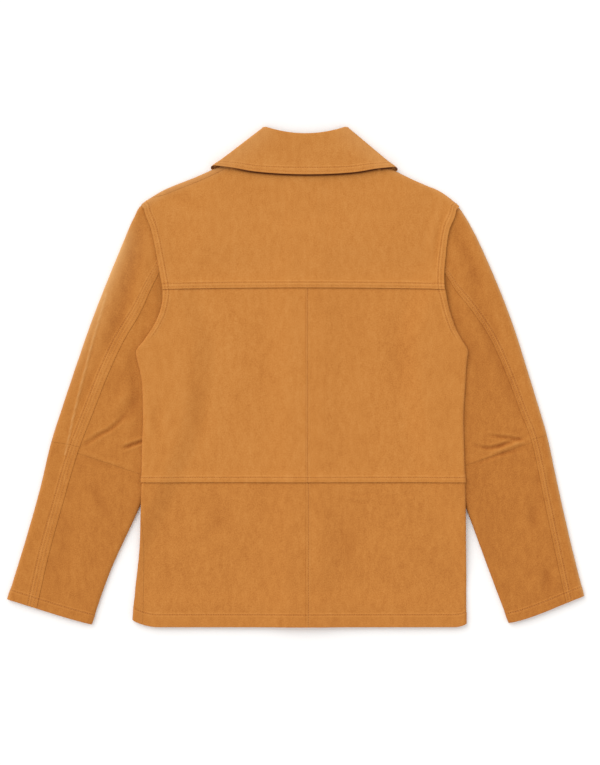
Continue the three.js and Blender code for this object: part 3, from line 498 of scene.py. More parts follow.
def shell(
    name, node, surface, us, vs, face, relief, stitches=None, free="", extra=None, tone=0.0, seed=0
):
    """One cut piece. surface(u, v) is its outside, relief(x, y) what its creases add, and stitches maps
    an edge (u0, u1, v0 or v1) to the distances of its rows of stitches. Free edges are in no seam."""
    stitches = stitches or {}
    u, v = np.meshgrid(us, vs)
    base = surface(u, v)
    tiny = 1e-4
    along = surface(u + tiny, v) - surface(u - tiny, v)
    across = surface(u, v + tiny) - surface(u, v - tiny)
    normal = unit(np.cross(along, across)) * face
    steps_u = np.linalg.norm(np.diff(base, axis=1), axis=2)
    steps_v = np.linalg.norm(np.diff(base, axis=0), axis=2)
    run_u = np.concatenate([np.zeros((len(vs), 1)), np.cumsum(steps_u, axis=1)], axis=1)
    run_v = np.concatenate([np.zeros((1, len(us))), np.cumsum(steps_v, axis=0)], axis=0)
    distance = {"u0": run_u, "u1": run_u[:, -1:] - run_u, "v0": run_v, "v1": run_v[-1:, :] - run_v}
    amount = relief(base[..., 0], base[..., 1], normal[..., 2])
    # Painted shade in the creases' troughs and painted highlight on their ridges, which the suede's colours
    # read.
    crease_line = np.clip(-amount * 0.5, -0.8, 1)
    amount = amount + swell_field(base[..., 0], base[..., 1], seed) * np.clip(normal[..., 2], 0, 1)
    # Painted shade in the rows of stitches and painted highlight beside them, which the suede's colours read.
    line = np.zeros(u.shape)
    for edge, rows in stitches.items():
        reach = STITCHED_PART.get(name, {}).get(edge)
        part = reach(base[..., 1]) if reach else 1.0
        amount = amount + part * band_height(distance[edge], rows)
        line = line + part * groove_painted_light(distance[edge], rows)
    # A lower layer lies on something flat, so there its cloth only ever gives way inwards.
    amount = amount - np.maximum(amount, 0) * np.clip(-normal[..., 2] * 3, 0, 1)
    thick = WALL + (extra(u, v) if extra else 0.0)
    shares = 1.0
    for edge, away in distance.items():
        shares = shares * nose(away, CUT_NOSE if edge in free else SEAM_NOSE)
    middle = base + normal * (amount - WALL / 2)[..., None]
    outside = middle + normal * (WALL / 2 * shares)[..., None]
    inside = middle - normal * ((thick - WALL / 2) * shares)[..., None]
    fields = {"line": line, "crease": crease_line, "tone": tone + 0 * u}
    piece = closed_mesh(name, outside, inside, face, fields)
    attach(piece, "root")
    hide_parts(node)
    size = (run_u[:, -1].max(), run_v[-1, :].max())
    area = np.linalg.norm(np.cross(np.diff(base, axis=1)[:-1], np.diff(base, axis=0)[:, :-1]), axis=2).sum()
    pieces[name] = {"object": piece, "size": size, "area": area, "outside": outside, "distance": distance}
    for edge, rows in stitches.items():
        for row in rows:
            reach = STITCHED_PART.get(name, {}).get(edge)
            stitch_rows.append((name, edge, row, outside, normal, distance[edge], reach))
    print(f"{name}: {len(us)} by {len(vs)} lines, {size[0]:.0f} by {size[1]:.0f} mm")
    return piece


def closed_mesh(name, outside, inside, face, fields):
    """Two grids that meet at their borders, as one closed mesh with a float attribute for each field."""
    rows, columns = outside.shape[:2]
    form = bmesh.new()
    layers = {key: form.verts.layers.float.new(key) for key in fields}
    values = {key: field.ravel() for key, field in fields.items()}
    border = []
    for layer_index, layer in enumerate((outside, inside)):
        made = bmesh.ops.create_grid(form, x_segments=columns - 1, y_segments=rows - 1, size=1)["verts"]
        places = (layer.reshape(-1, 3) * MM).tolist()
        for index, (vert, place) in enumerate(zip(made, places)):
            vert.co = place
            for key, field in layers.items():
                vert[field] = values[key][index]
            row, column = divmod(index, columns)
            if row in (0, rows - 1) or column in (0, columns - 1):
                border.append(vert)
        if layer_index == 0:
            form.faces.ensure_lookup_table()
            outer_count = len(form.faces)
    form.faces.ensure_lookup_table()
    bmesh.ops.reverse_faces(form, faces=form.faces[outer_count:] if face > 0 else form.faces[:outer_count])
    bmesh.ops.remove_doubles(form, verts=border, dist=1e-6)
    for polygon in form.faces:
        polygon.smooth = True
    mesh = bpy.data.meshes.new(name)
    form.to_mesh(mesh)
    form.free()
    piece = bpy.data.objects.new(name, mesh)
    bpy.context.scene.collection.objects.link(piece)
    return piece


def creases_on(upper, lower="under"):
    """A relief made of one table's creases on the upper side of the cloth and another's below."""

    def relief(x, y, up):
        above = crease_field(CREASES[upper], x, y) * np.clip(up, 0, 1)
        below = crease_field(CREASES[lower], x, y) * np.clip(-up, 0, 1)
        return above + np.minimum(below, 0)

    return relief


# %% [markdown]
# ## The back
# Two skirt pieces and two panels meet at the centre back, and the yoke laps over the panels.

# %% Skirt and panels
def back_surface(side, low, high, laps_below, hem):
    def surface(u, v):
        y = mix(low, high, v)
        start = side_wrap(side, y) + SIDE_GAP / 2
        centre = np.abs(CENTRE_BACK_X - body_edge[side](y)) - SEAM_GAP / 2
        reach = mix(start, centre - BODY_CURL + BODY_QUARTER, u)
        beside_fold = mix(0.65, 1.0, ease(reach, 0, 14))
        rise = beside_fold * LAP_RISE * (1 - ease(y, low + SEAM_LAP, low + 20)) if laps_below else 0.0
        sink = LAP_SINK * ease(y, high - 12, high - SEAM_LAP)
        place = body_point(side, reach, y, "back", sink - rise)
        if hem:
            place[..., 1] += corner_rise(side, place[..., 0], place[..., 1])
        return place

    return surface


PANEL_WIDTH = 246
PANEL_HEIGHT = CHEST_Y - WAIST_SEAM_Y
SKIRT_TOP = WAIST_SEAM_Y + SEAM_LAP
SKIRT_HEIGHT = SKIRT_TOP - HEM_Y
WAIST_ROWS = (7.5,)
HEM_ROWS = (HEM_DEPTH + 0.75,)
ARMHOLE_ROWS = (4.6, 9.4)
CENTRE_ROWS = {"panel": (2.4,), "skirt": (3.6,)}
for side, face in (("left", 1), ("right", -1)):
    us = stations(PANEL_WIDTH, 14, 11)
    panel_stitches = {"v0": WAIST_ROWS, "u0": ARMHOLE_ROWS}
    if side == "right":
        panel_stitches["u1"] = CENTRE_ROWS["panel"]
    shell(
        f"suede_back_panel_{side}", f"back_panel_{side}",
        back_surface(side, WAIST_SEAM_Y, CHEST_Y, True, False),
        us, stations(PANEL_HEIGHT, 17, 4), face, creases_on("body"), panel_stitches, "v0",
        tone=0.15 if side == "left" else 0.0, seed=1 if side == "left" else 2,
    )
    skirt_stitches = {"v0": HEM_ROWS}
    if side == "right":
        skirt_stitches["u1"] = CENTRE_ROWS["skirt"]
    shell(
        f"suede_back_skirt_{side}", f"back_skirt_{side}",
        back_surface(side, HEM_Y, SKIRT_TOP, False, True),
        us, stations(SKIRT_HEIGHT, 24, 4), face, creases_on("body"), skirt_stitches, "v0",
        extra=lambda u, v: HEM_EXTRA * (1 - ease(v * SKIRT_HEIGHT, HEM_DEPTH, HEM_DEPTH + 2)),
        tone=-0.3, seed=3 if side == "left" else 4,
    )

# %% [markdown]
# ## The yoke
# One piece from shoulder to shoulder. At the left shoulder the front reaches over onto the back.

# %% Yoke
SHOULDER_TIP = {"left": (-232, 257.3), "right": (244.6, 255)}
NECK_POINT = {"left": (-69, 339), "right": (97, 336)}
# How far each shoulder bows out from the straight line between its tip (0) and the neck (1).
SHOULDER_BOW = table(
    "along left right",
    (0, 0, 0), (0.06, 2.6, 2.6), (0.14, 4.3, 5.2), (0.24, 5, 6.2),
    (0.36, 3.4, 3.9), (0.5, 1, 1.8), (0.64, -0.2, 0.8), (1, 0, 0),
)
shoulder_bow = {side: table_curve(SHOULDER_BOW, "along", side) for side in ("left", "right")}
BACK_NECK_BOW = -9
FRONT_NECK = (CENTRE_FRONT_X, 246)
FRONT_NECK_BOW = 24
LEFT_SHOULDER_WRAP = 9
YOKE_WIDTH = 445
YOKE_HEIGHT = 190
YOKE_MARGIN = 3
EDGE_LENGTH = BODY_QUARTER + YOKE_MARGIN


def shoulder_line(side, t):
    """The shoulder fold of one side, from its tip (t = 0) to the neck (t = 1)."""
    tip, neck, bow = SHOULDER_TIP[side], NECK_POINT[side], shoulder_bow[side]
    near = 0.02
    slope = (bow(t + near) - bow(t - near)) / (np.minimum(t + near, 1) - np.maximum(t - near, 0))
    if side == "left":
        line = bowed(tip, neck, bow(t), slope, t)
        line["wrap"] = LEFT_SHOULDER_WRAP * ease(t, 0.02, 0.25) * (1 - ease(t, 0.75, 0.98))
    else:
        line = bowed(neck, tip, bow(t), -slope, 1 - t)
        line["wrap"] = np.zeros_like(t)
    line["fold"] = ease(t, 0, 0.05)
    return line


def choose(condition, first, second):
    return {key: np.where(condition, first[key], second[key]) for key in first}


def yoke_top(u):
    """The yoke's upper boundary: a shoulder, the neck seam and the other shoulder."""
    t = u * 3 - 1
    neck = arc(NECK_POINT["left"], NECK_POINT["right"], BACK_NECK_BOW, t)
    neck["fold"] = 1 - ease(np.minimum(t, 1 - t), 0, 0.12)
    neck["wrap"] = np.zeros_like(t)
    line = choose(t < 0, shoulder_line("left", t + 1), neck)
    return choose(t > 1, shoulder_line("right", 2 - t), line)


def soften(line_at, u, spread):
    """A boundary whose normals turn gently round its corners, so that lines drawn in from it never cross."""
    line = line_at(u)
    around = [line_at(np.clip(u + spread * share, 0, 1)) for share in np.linspace(-1, 1, 9)]
    normal_x = sum(near["nx"] for near in around)
    normal_y = sum(near["ny"] for near in around)
    size = np.hypot(normal_x, normal_y)
    line["nx"], line["ny"] = normal_x / size, normal_y / size
    return line


def inset_top(edge, inset):
    return edge["x"] - edge["nx"] * inset, edge["y"] - edge["ny"] * inset


def shoulder_point(edge, reach, layer):
    inset, rounded_share = round_edge(reach, BODY_CURL, BODY_QUARTER)
    share = mix(1.0 if layer == "back" else 0.0, rounded_share, edge["fold"])
    x, y = inset_top(edge, np.maximum(inset, SEAM_GAP / 2))
    return points(x, y, mix(front_height(x, y), back_height(x, y), share))


def armhole_pull(edge, low, high, t):
    """How far an armhole edge lies from the straight line between its ends."""
    y = mix(low[1], high[1], t)
    return (edge(y) - mix(low[0], high[0], t)) * (1 - ease(t, 0.75, 1))


YOKE_DROOP = 2.6


def yoke_surface(u, v):
    edge = soften(yoke_top, u, 0.03)
    seam_y = YOKE_SEAM_Y - YOKE_DROOP * np.abs(2 * u - 1) ** 3
    extra = np.maximum(edge["wrap"] - BODY_QUARTER, 0)
    break_at = 1 - EDGE_LENGTH / YOKE_HEIGHT
    t = np.clip(v / break_at, None, 1)
    seam_ends = [float(body_edge[side](YOKE_SEAM_Y)) for side in ("left", "right")]
    low_x = mix(seam_ends[0], seam_ends[1], u)
    high_x, high_y = inset_top(edge, BODY_CURL + YOKE_MARGIN + extra)
    pulls = []
    for index, side in enumerate(("left", "right")):
        corner = yoke_top(np.array(float(index)))
        top = inset_top(corner, BODY_CURL + YOKE_MARGIN + max(float(corner["wrap"]) - BODY_QUARTER, 0))
        pulls.append(armhole_pull(body_edge[side], (seam_ends[index], YOKE_SEAM_Y), top, t))
    x = mix(low_x, high_x, t) + mix(pulls[0], pulls[1], u)
    y = mix(seam_y, high_y, t)
    rise = LAP_RISE * (1 - ease(y, seam_y + SEAM_LAP, seam_y + 20))
    flat = points(x, y, back_height(x, y) + rise)
    step = (v - break_at) / (1 - break_at)
    start = BODY_QUARTER + YOKE_MARGIN + extra
    rim = shoulder_point(edge, mix(start, edge["wrap"] + SEAM_GAP / 2, step), "back")
    return np.where((v <= break_at)[..., None], flat, rim)


YOKE_ROWS = (3, 8.3)
shell(
    "suede_back_yoke", "back_yoke", yoke_surface,
    stations(YOKE_WIDTH, 14, 14, 2.4), stations(YOKE_HEIGHT, 13, 9, 3.6, (138, 178, 0.9)),
    1, creases_on("body"),
    {"v0": YOKE_ROWS, "u0": ARMHOLE_ROWS, "u1": ARMHOLE_ROWS}, "v0", tone=0.2, seed=5,
)

# %% [markdown]
# ## The fronts
# The photo hides them, so each is one plain piece. The left one laps over the right one.


# %% Fronts
FRONT_MARGIN = 2
FRONT_WIDTH = 268
PLACKET_ROWS = (4, 9)
BODY_PART = CHEST_Y - HEM_Y
CHEST_PART = 150
FRONT_LENGTH = BODY_PART + CHEST_PART + BODY_QUARTER + FRONT_MARGIN


def front_top(side, u):
    """A front's upper boundary: its shoulder, then the neck seam down to the centre and its own edge."""
    shoulder_end, neck_end = 8 / 15, 14 / 15
    t = (u - shoulder_end) / (neck_end - shoulder_end)
    if side == "left":
        neck = arc(NECK_POINT["left"], FRONT_NECK, -FRONT_NECK_BOW, t)
    else:
        neck = arc(FRONT_NECK, NECK_POINT["right"], -FRONT_NECK_BOW, 1 - t)
    neck["fold"] = 1 - ease(t, 0, 0.15)
    neck["wrap"] = np.zeros_like(t)
    own_x = CENTRE_FRONT_X + INWARD[side] * PLACKET_HALF * np.clip((u - neck_end) * 15, 0, 1)
    own = {"x": own_x, "y": FRONT_NECK[1] + 0 * u, "nx": 0 * u, "ny": 1 + 0 * u, "fold": 0 * u, "wrap": 0 * u}
    line = choose(u < shoulder_end, shoulder_line(side, u / shoulder_end), neck)
    return choose(u > neck_end, own, line)


def front_surface(side):
    own_edge = CENTRE_FRONT_X + INWARD[side] * PLACKET_HALF
    layer_height = right_front_height if side == "right" else front_height

    def side_point(u, y):
        start = side_wrap(side, y) - SIDE_GAP / 2
        end = -(np.abs(own_edge - front_edge(side, y)) - BODY_CURL + BODY_QUARTER)
        return body_point(side, mix(start, end, u), y, "front")

    def surface(u, v):
        run = v * FRONT_LENGTH
        y = mix(HEM_Y, CHEST_Y, np.clip(run / BODY_PART, None, 1))
        body = side_point(u, y)
        body[..., 1] += corner_rise(side, body[..., 0], body[..., 1])
        t = np.clip((run - BODY_PART) / CHEST_PART, 0, 1)
        low = side_point(u, np.full_like(u, CHEST_Y))
        edge = soften(lambda at: front_top(side, at), u, 0.045)
        high_x, high_y = inset_top(edge, BODY_CURL + FRONT_MARGIN)
        corner = front_top(side, np.zeros(()))
        corner_low = side_point(np.zeros(()), np.array(float(CHEST_Y)))
        pull = armhole_pull(
            lambda at: front_edge(side, at), corner_low, inset_top(corner, BODY_CURL + FRONT_MARGIN), t
        )
        x = mix(low[..., 0], high_x, t) + pull * (1 - u)
        chest_y = mix(low[..., 1], high_y, t)
        chest = points(x, chest_y, layer_height(x, chest_y))
        step = (run - BODY_PART - CHEST_PART) / (BODY_QUARTER + FRONT_MARGIN)
        reach = mix(-(BODY_QUARTER + FRONT_MARGIN), edge["wrap"] - SEAM_GAP / 2, step)
        rim = shoulder_point(edge, reach, "front")
        rim[..., 2] += (layer_height(rim[..., 0], rim[..., 1]) - front_height(rim[..., 0], rim[..., 1])) * (
            1 - edge["fold"]
        )
        place = np.where((run <= BODY_PART)[..., None], body, chest)
        return np.where((run > BODY_PART + CHEST_PART)[..., None], rim, place)

    return surface


for side, face in (("left", -1), ("right", 1)):
    shell(
        f"suede_front_{side}", f"front_{side}", front_surface(side),
        stations(FRONT_WIDTH, 12, 14, 5), stations(FRONT_LENGTH, 24, 12, 5), face, creases_on("body"),
        {"u1": PLACKET_ROWS, "v0": HEM_ROWS}, "v0 u1",
        extra=lambda u, v: HEM_EXTRA * (1 - ease(v * FRONT_LENGTH, HEM_DEPTH, HEM_DEPTH + 2)),
        tone=-0.1, seed=6 if side == "left" else 7,
    )

# %% [markdown]
# ## The sleeves
# Each is a flattened tube of four pieces: top and under, each in an upper and a lower length.


# %% Sleeves
def sleeve_shape(side):
    column = {name: table_curve(SLEEVES[side], "along", name) for name in SECTIONS.split()[1:]}

    def height(along):
        return mix(ARMHOLE_HEIGHT, SLEEVE_HEIGHT, ease(along, 0.1, 1.6))

    def width(along):
        dx = column["inner_x"](along) - column["outer_x"](along)
        dy = column["inner_y"](along) - column["outer_y"](along)
        return np.hypot(dx, dy)

    def full_round(along):
        return width(along) - 2 * SLEEVE_CURL + 2 * SLEEVE_QUARTER

    def reach_of(share, along):
        return share * width(along) - SLEEVE_CURL + SLEEVE_QUARTER

    def place(reach, along):
        full = full_round(along)
        from_outer = (reach < full / 2) | (reach > full * 1.5)
        away = np.where(reach > full * 1.5, reach - 2 * full, np.where(reach < full / 2, reach, full - reach))
        inset, height_share = round_edge(away, SLEEVE_CURL, SLEEVE_QUARTER)
        share = np.where(from_outer, inset, width(along) - inset) / width(along)
        start_x = mix(float(column["outer_x"](0.0)), float(column["inner_x"](0.0)), share)
        start_y = mix(float(column["outer_y"](0.0)), float(column["inner_y"](0.0)), share)
        bulge = (sleeve_inner[side](start_y) - start_x) * (1 - ease(along, 0, 2.2))
        x = mix(column["outer_x"](along), column["inner_x"](along), share) + bulge
        bow = CUFF_BOW[side] * 6.75 * share**2 * (1 - share) * ease(along, CUFF - 1, CUFF)
        y = mix(column["outer_y"](along), column["inner_y"](along), share) - bow
        return points(x, y, height(along) * height_share)

    return column, full_round, reach_of, place


LOWER_LENGTH = 245
SLEEVE_LENGTHS = {"upper": (0, ELBOW, 385), "lower": (ELBOW, CUFF, LOWER_LENGTH)}
SLEEVE_WIDTHS = {"top": 160, "under": 125}
# The sharp creases at the elbow need lines that lie close together.
ELBOW_FINE = {"upper": (255, 378, 1.4), "lower": (8, 34, 1.4)}
BACK_SEAM_ROWS = {"left": (5, 10, 14.5), "right": (4, 8.5)}


def turned_cuff(u, v):
    """The cuff is turned in, so its end is thicker."""
    turned_from = LOWER_LENGTH - CUFF_DEPTH
    return HEM_EXTRA * ease(v * LOWER_LENGTH, turned_from - 2, turned_from)


for side, face in (("left", -1), ("right", 1)):
    column, full_round, reach_of, place = sleeve_shape(side)
    for layer in ("top", "under"):
        for length_name, (low, high, length) in SLEEVE_LENGTHS.items():
            half = SEAM_GAP / 2

            def surface(u, v, layer=layer, length_name=length_name, low=low, high=high):
                gap = half / ELBOW_SECTION
                start = low + gap if length_name == "lower" else low
                end = high - gap if length_name == "upper" else high
                share = v if length_name == "upper" else 1 - v
                step = ELBOW_STEP[side] * ease(u, 0.55, 1.0) if layer == "top" else 0.0
                along = mix(start, end, v) - step * share
                full = full_round(along)
                seam = reach_of(column["seam"](along), along)
                front_seam = 2 * full - reach_of(FRONT_SEAM_SHARE, along)
                if layer == "top":
                    return place(mix(front_seam - 2 * full + half, seam - half, u), along)
                return place(mix(seam + half, front_seam - half, u), along)

            stitched = {"u1": BACK_SEAM_ROWS[side]} if layer == "top" else {}
            if length_name == "lower":
                stitched["v1"] = (CUFF_DEPTH,)
            tone = (0.1 if layer == "top" else -0.15) - (0.22 if side == "right" else 0)
            shell(
                f"suede_{side}_{layer}_{length_name}", f"{side}_sleeve_{layer}_{length_name}",
                surface,
                stations(SLEEVE_WIDTHS[layer], 4, 18 if layer == "top" else 4, 2.2),
                stations(length, 6, 20 if length_name == "lower" else 6, 3.6, ELBOW_FINE[length_name]),
                face, creases_on(side), stitched,
                "v1" if length_name == "lower" else "",
                extra=turned_cuff if length_name == "lower" else None,
                tone=tone - (0.15 if length_name == "lower" else 0),
                seed=8 if side == "left" else 9,
            )

# %% [markdown]
# ## The collar
# A flattened band round the neck: the leaf outside and the stand inside, joined at the roll.

# %% Collar
COLLAR_TOP_Z = COLLAR_LIFT + BODY_HEIGHT
COLLAR_LOW_Z = COLLAR_HALF
COLLAR_MID_X = 14.2
# Corner and front end of each ring of the collar on the wearer's left, with the bows of its two arcs.
RINGS = {
    "roll": {"corner": (-49.5, 372.3), "end": (11.2, 270), "front_bow": 4, "back_bow": -9.8},
    "leaf": {
        "corner": (-126, 315.4), "right": (-122.1, 313.2), "end": (-42, 208), "front_bow": 4, "back_bow": -12,
        "hang": 5,
    },
    "stand": {"corner": NECK_POINT["left"], "end": (11.2, 247.6), "front_bow": 20, "back_bow": -9},
}
FRONT_PART, CORNER_PART = 0.3, 0.04


def ring(u, name):
    """One ring of the collar: from the left front end, round the back, to the right front end."""
    data = RINGS[name]
    flip = u > 0.5
    w = np.where(flip, 1 - u, u)
    left, right = data["corner"], data.get("right", data["corner"])
    corner_x = np.where(flip, right[0], left[0]) + COLLAR_CURL
    corner_y = np.where(flip, right[1], left[1])
    hang = data.get("hang", 0)
    fronts = [
        arc(data["end"], (corner[0] + COLLAR_CURL, corner[1] - hang), data["front_bow"], w / FRONT_PART)
        for corner in (left, right)
    ]
    front = choose(flip, fronts[1], fronts[0])
    turn = (w - FRONT_PART) / CORNER_PART * math.pi - math.pi / 2
    turn = np.clip(turn, -math.pi / 2, math.pi / 2)
    middle = (COLLAR_TOP_Z + COLLAR_LOW_Z) / 2
    half = (COLLAR_TOP_Z - COLLAR_LOW_Z) / 2
    corner_end = FRONT_PART + CORNER_PART
    back_t = (u - corner_end) / (1 - 2 * corner_end)
    back_start = (left[0] + COLLAR_CURL, left[1])
    back_end = (2 * COLLAR_MID_X - right[0] - COLLAR_CURL, right[1])
    back = arc(back_start, back_end, data["back_bow"], back_t)
    in_front = w < FRONT_PART
    in_back = w > corner_end
    x = np.where(in_front, front["x"], corner_x - COLLAR_CURL * np.cos(turn))
    x = np.where(flip, 2 * COLLAR_MID_X - x, x)
    x = np.where(in_back, back["x"], x)
    y = np.where(in_front, front["y"], corner_y - hang * (1 - np.sin(turn)) / 2)
    y = np.where(in_back, back["y"], y)
    out_x = np.where(flip, 1, -1) * np.cos(turn)
    return x, y, middle + half * np.sin(turn), out_x, np.sin(turn)


def collar_point(u, name, share, out, past=0.0):
    roll = ring(u, "roll")
    edge = ring(u, name)
    away_x, away_y = roll[0] - edge[0], roll[1] - edge[1]
    size = np.hypot(away_x, away_y)
    x = mix(roll[0], edge[0], share) + away_x / size * past + roll[3] * out
    y = mix(roll[1], edge[1], share) + away_y / size * past
    return points(x, y, mix(roll[2], edge[2], share) + roll[4] * out)


print("top of the collar:", round(COLLAR_TOP_Z + COLLAR_HALF, 2), "mm high")

# %% [markdown]
# ## The leaf and the stand
# The leaf starts inside, curls over the roll and falls to its edge. The stand goes up to the roll behind it.

# %% Leaf and stand
LEAF_WIDTH = 560
LEAF_LENGTH = 78
STAND_WIDTH = 420
STAND_LENGTH = 30
HIDDEN = 0.03
CURL = 0.1
LEAF_STAND_OFF = 2.4
SIDE_HOLLOW = 0.024


def leaf_surface(u, v):
    tucked = collar_point(u, "stand", 0.0, -COLLAR_HALF, -ROLL_TUCK * (1 - v / HIDDEN))
    turn = math.pi * (1 - (v - HIDDEN) / (CURL - HIDDEN))
    curled = collar_point(u, "stand", 0.0, COLLAR_HALF * np.cos(turn), ROLL_CURL * np.sin(turn))
    share = (v - CURL) / (1 - CURL)
    # The leaf's edge is a little hollow beside the fold at the side of the neck, and springs off the yoke.
    past_fold = np.minimum(u, 1 - u) - FRONT_PART - CORNER_PART / 2
    hollow = SIDE_HOLLOW * np.exp(-(((past_fold - 0.05) / 0.025) ** 2))
    flat = collar_point(u, "leaf", share * (1 - hollow), COLLAR_HALF)
    on_top = np.clip(ring(u, "roll")[4], 0, 1)
    spring = LEAF_SPRING * np.clip(share, 0, 1) ** 3 + LEAF_STAND_OFF * np.clip(share, 0, 1) ** 5
    flat[..., 2] += spring * on_top
    place = np.where((v < HIDDEN)[..., None], tucked, curled)
    return np.where((v >= CURL)[..., None], flat, place)


def stand_surface(u, v):
    return collar_point(u, "stand", mix(0.12, 0.97, v), -SEAM_GAP)


def plain(x, y, up):
    return np.zeros_like(x)


LEAF_ROWS = (4.5, 11)
across_leaf = np.unique(np.concatenate([np.linspace(0, CURL, 12), stations(LEAF_LENGTH, 0, 15, 2.5)]))
shell(
    "suede_collar_leaf", "collar_leaf", leaf_surface,
    stations(LEAF_WIDTH, 14, 14, 3), across_leaf,
    -1, plain, {"v1": LEAF_ROWS}, "v1", tone=0.2, seed=10,
)
shell(
    "suede_collar_stand", "collar_stand", stand_surface,
    stations(STAND_WIDTH, 0, 0, 4), stations(STAND_LENGTH, 0, 0, 3), -1, plain, {}, "", tone=-0.2, seed=11,
)

# %% [markdown]
# ## Painted shadow under the leaf's edge
# There a shadow is painted into the suede in deep brown, and the leaf's own cut edge is painted dark too. A
# value at each point of the mesh says how dark it is, and the suede's colours read it.

# %% Painted shadow under the leaf's edge
SHADE_ABOVE = 0.5
SHADE_BELOW = 2
SHADE_ROUND_FOLD = 6
# Near the left shoulder the leaf lies closer to the yoke, and the painted shadow under its edge is lighter
# there.
CLOSE_AT = -102
CLOSE_HALF = 14
CLOSE_SHARE = 0.5


def mesh_points(name):
    """A piece's mesh, and the x, y and z of all its points in millimetres."""
    mesh = pieces[name]["object"].data
    places = np.zeros(len(mesh.vertices) * 3)
    mesh.vertices.foreach_get("co", places)
    return mesh, *(places.reshape(-1, 3).T / MM)


def shade_below_leaf(name, above, below):
    """Paints shadow on a piece along the leaf's edge: `above` and `below` are how far that fades, in
    millimetres.
    """
    fold_at = FRONT_PART + CORNER_PART / 2
    edge = leaf_surface(np.linspace(fold_at, 1 - fold_at, 400), np.ones(400))
    mesh, x, y, z = mesh_points(name)
    away = np.interp(x, edge[:, 0], edge[:, 1]) - y
    shade = np.exp(-((np.where(away > 0, away / below, away / above)) ** 2))
    inside = (x > edge[0, 0] - 1) & (x < edge[-1, 0] + 1)
    on_the_back = z > (COLLAR_TOP_Z + COLLAR_LOW_Z) / 2
    shade = shade * (1 - CLOSE_SHARE * np.exp(-(((x - CLOSE_AT) / CLOSE_HALF) ** 2)))
    mesh.attributes.new("shade", "FLOAT", "POINT").data.foreach_set("value", shade * (inside & on_the_back))


shade_below_leaf("suede_collar_leaf", SHADE_ABOVE, SHADE_ROUND_FOLD)
shade_below_leaf("suede_back_yoke", SHADE_BELOW, SHADE_BELOW)
shade_below_leaf("suede_front_left", SHADE_BELOW, SHADE_BELOW)
print("shaded:", [name for name, data in pieces.items() if "shade" in data["object"].data.attributes])

# %% [markdown]
# ## Painted highlights on the folds
# A highlight is painted into the suede along its folds, where they face the light. The outer fold of the left
# sleeve is the palest, and so are its long ridge, both shoulders and the sides of the collar.

# %% Painted highlights on the folds
def distance_to(path, x, y):
    """How far points lie from a line of short steps."""
    nearest = np.full(x.shape, 1e9)
    for (ax, ay), (bx, by) in zip(path[:-1], path[1:]):
        length = math.hypot(bx - ax, by - ay)
        t = np.clip(((x - ax) * (bx - ax) + (y - ay) * (by - ay)) / length**2, 0, 1)
        nearest = np.minimum(nearest, np.hypot(x - mix(ax, bx, t), y - mix(ay, by, t)))
    return nearest


def paint_highlight(name, *marks):
    """Paints a highlight on a piece by noting how pale it is. Each mark is a line, and what share of the pale
    colour it gives at a distance from the line and a height y."""
    mesh, x, y, _ = mesh_points(name)
    pale = sum(share(distance_to(path, x, y), y) for path, share in marks)
    mesh.attributes.new("paint_highlight", "FLOAT", "POINT").data.foreach_set("value", np.clip(pale, 0, 1))


def rim(strength, width):
    return lambda away, y: strength * np.exp(-((away / width) ** 2))


def left_rim(away, y):
    broad = (1 - ease(y, 180, 250)) * ease(y, -60, 170)
    return 0.12 * np.exp(-((away / 2.6) ** 2)) + broad * (
        0.29 * np.exp(-((away / 9) ** 2)) + 0.12 * np.exp(-((away / 26) ** 2))
    )


for side in ("left", "right"):
    outer_x, outer_y = (table_curve(SLEEVES[side], "along", name) for name in ("outer_x", "outer_y"))
    fold = [(float(outer_x(at)), float(outer_y(at))) for at in np.linspace(0, CUFF, 60)]
    marks = [(fold, left_rim if side == "left" else rim(0.3, 3))]
    if side == "left":
        marks.append((LEFT_RIDGE, rim(0.24, 1.1)))
    for length_name in SLEEVE_LENGTHS:
        paint_highlight(f"suede_{side}_top_{length_name}", *marks)

shoulders = {
    side: [(float(at["x"]), float(at["y"])) for at in (shoulder_line(side, t) for t in np.linspace(0, 1, 30))]
    for side in ("left", "right")
}
paint_highlight("suede_back_yoke", (shoulders["left"], rim(0.24, 8)), (shoulders["right"], rim(0.12, 5)))
paint_highlight("suede_front_left", (shoulders["left"], rim(0.26, 8)))
collar_sides = [leaf_surface(np.full(20, at), np.linspace(CURL, 1, 20))[:, :2] for at in (0.32, 0.68)]
paint_highlight("suede_collar_leaf", *[(side_line, rim(0.13, 20)) for side_line in collar_sides])
print("rubbed folds on", sum("paint_highlight" in data["object"].data.attributes for data in pieces.values()), "pieces")

# %% [markdown]
# ## Thread
# Every row of stitches is real thread: short flattened beads that dip into the suede at both ends.

# %% Stitches
STITCH_PITCH = 3.6
STITCH_LENGTH = 2.9
THREAD_RADIUS = 0.3
THREAD_FLATNESS = 0.7
THREAD_DIP = 0.28
THREAD_LIFT = 0.12


def stitch_path(edge, row, outside, normal, distance):
    """Points and normals on a piece's outside at a fixed distance from one of its edges."""
    lines = outside.shape[0] if edge[0] == "u" else outside.shape[1]
    path, normals = [], []
    for index in range(lines):
        pick = (index, slice(None)) if edge[0] == "u" else (slice(None), index)
        run = distance[pick]
        order = np.argsort(run)
        if run.max() < row:
            continue
        path.append([np.interp(row, run[order], outside[pick][order, k]) for k in range(3)])
        normals.append([np.interp(row, run[order], normal[pick][order, k]) for k in range(3)])
    return np.array(path), unit(np.array(normals))


def bead_template():
    """A unit sphere of few faces, as points and faces."""
    form = bmesh.new()
    bmesh.ops.create_uvsphere(form, u_segments=6, v_segments=5, radius=1.0)
    form.verts.index_update()
    corners = np.array([vert.co[:] for vert in form.verts])
    faces = [[vert.index for vert in polygon.verts] for polygon in form.faces]
    form.free()
    return corners, faces


BEAD, BEAD_FACES = bead_template()


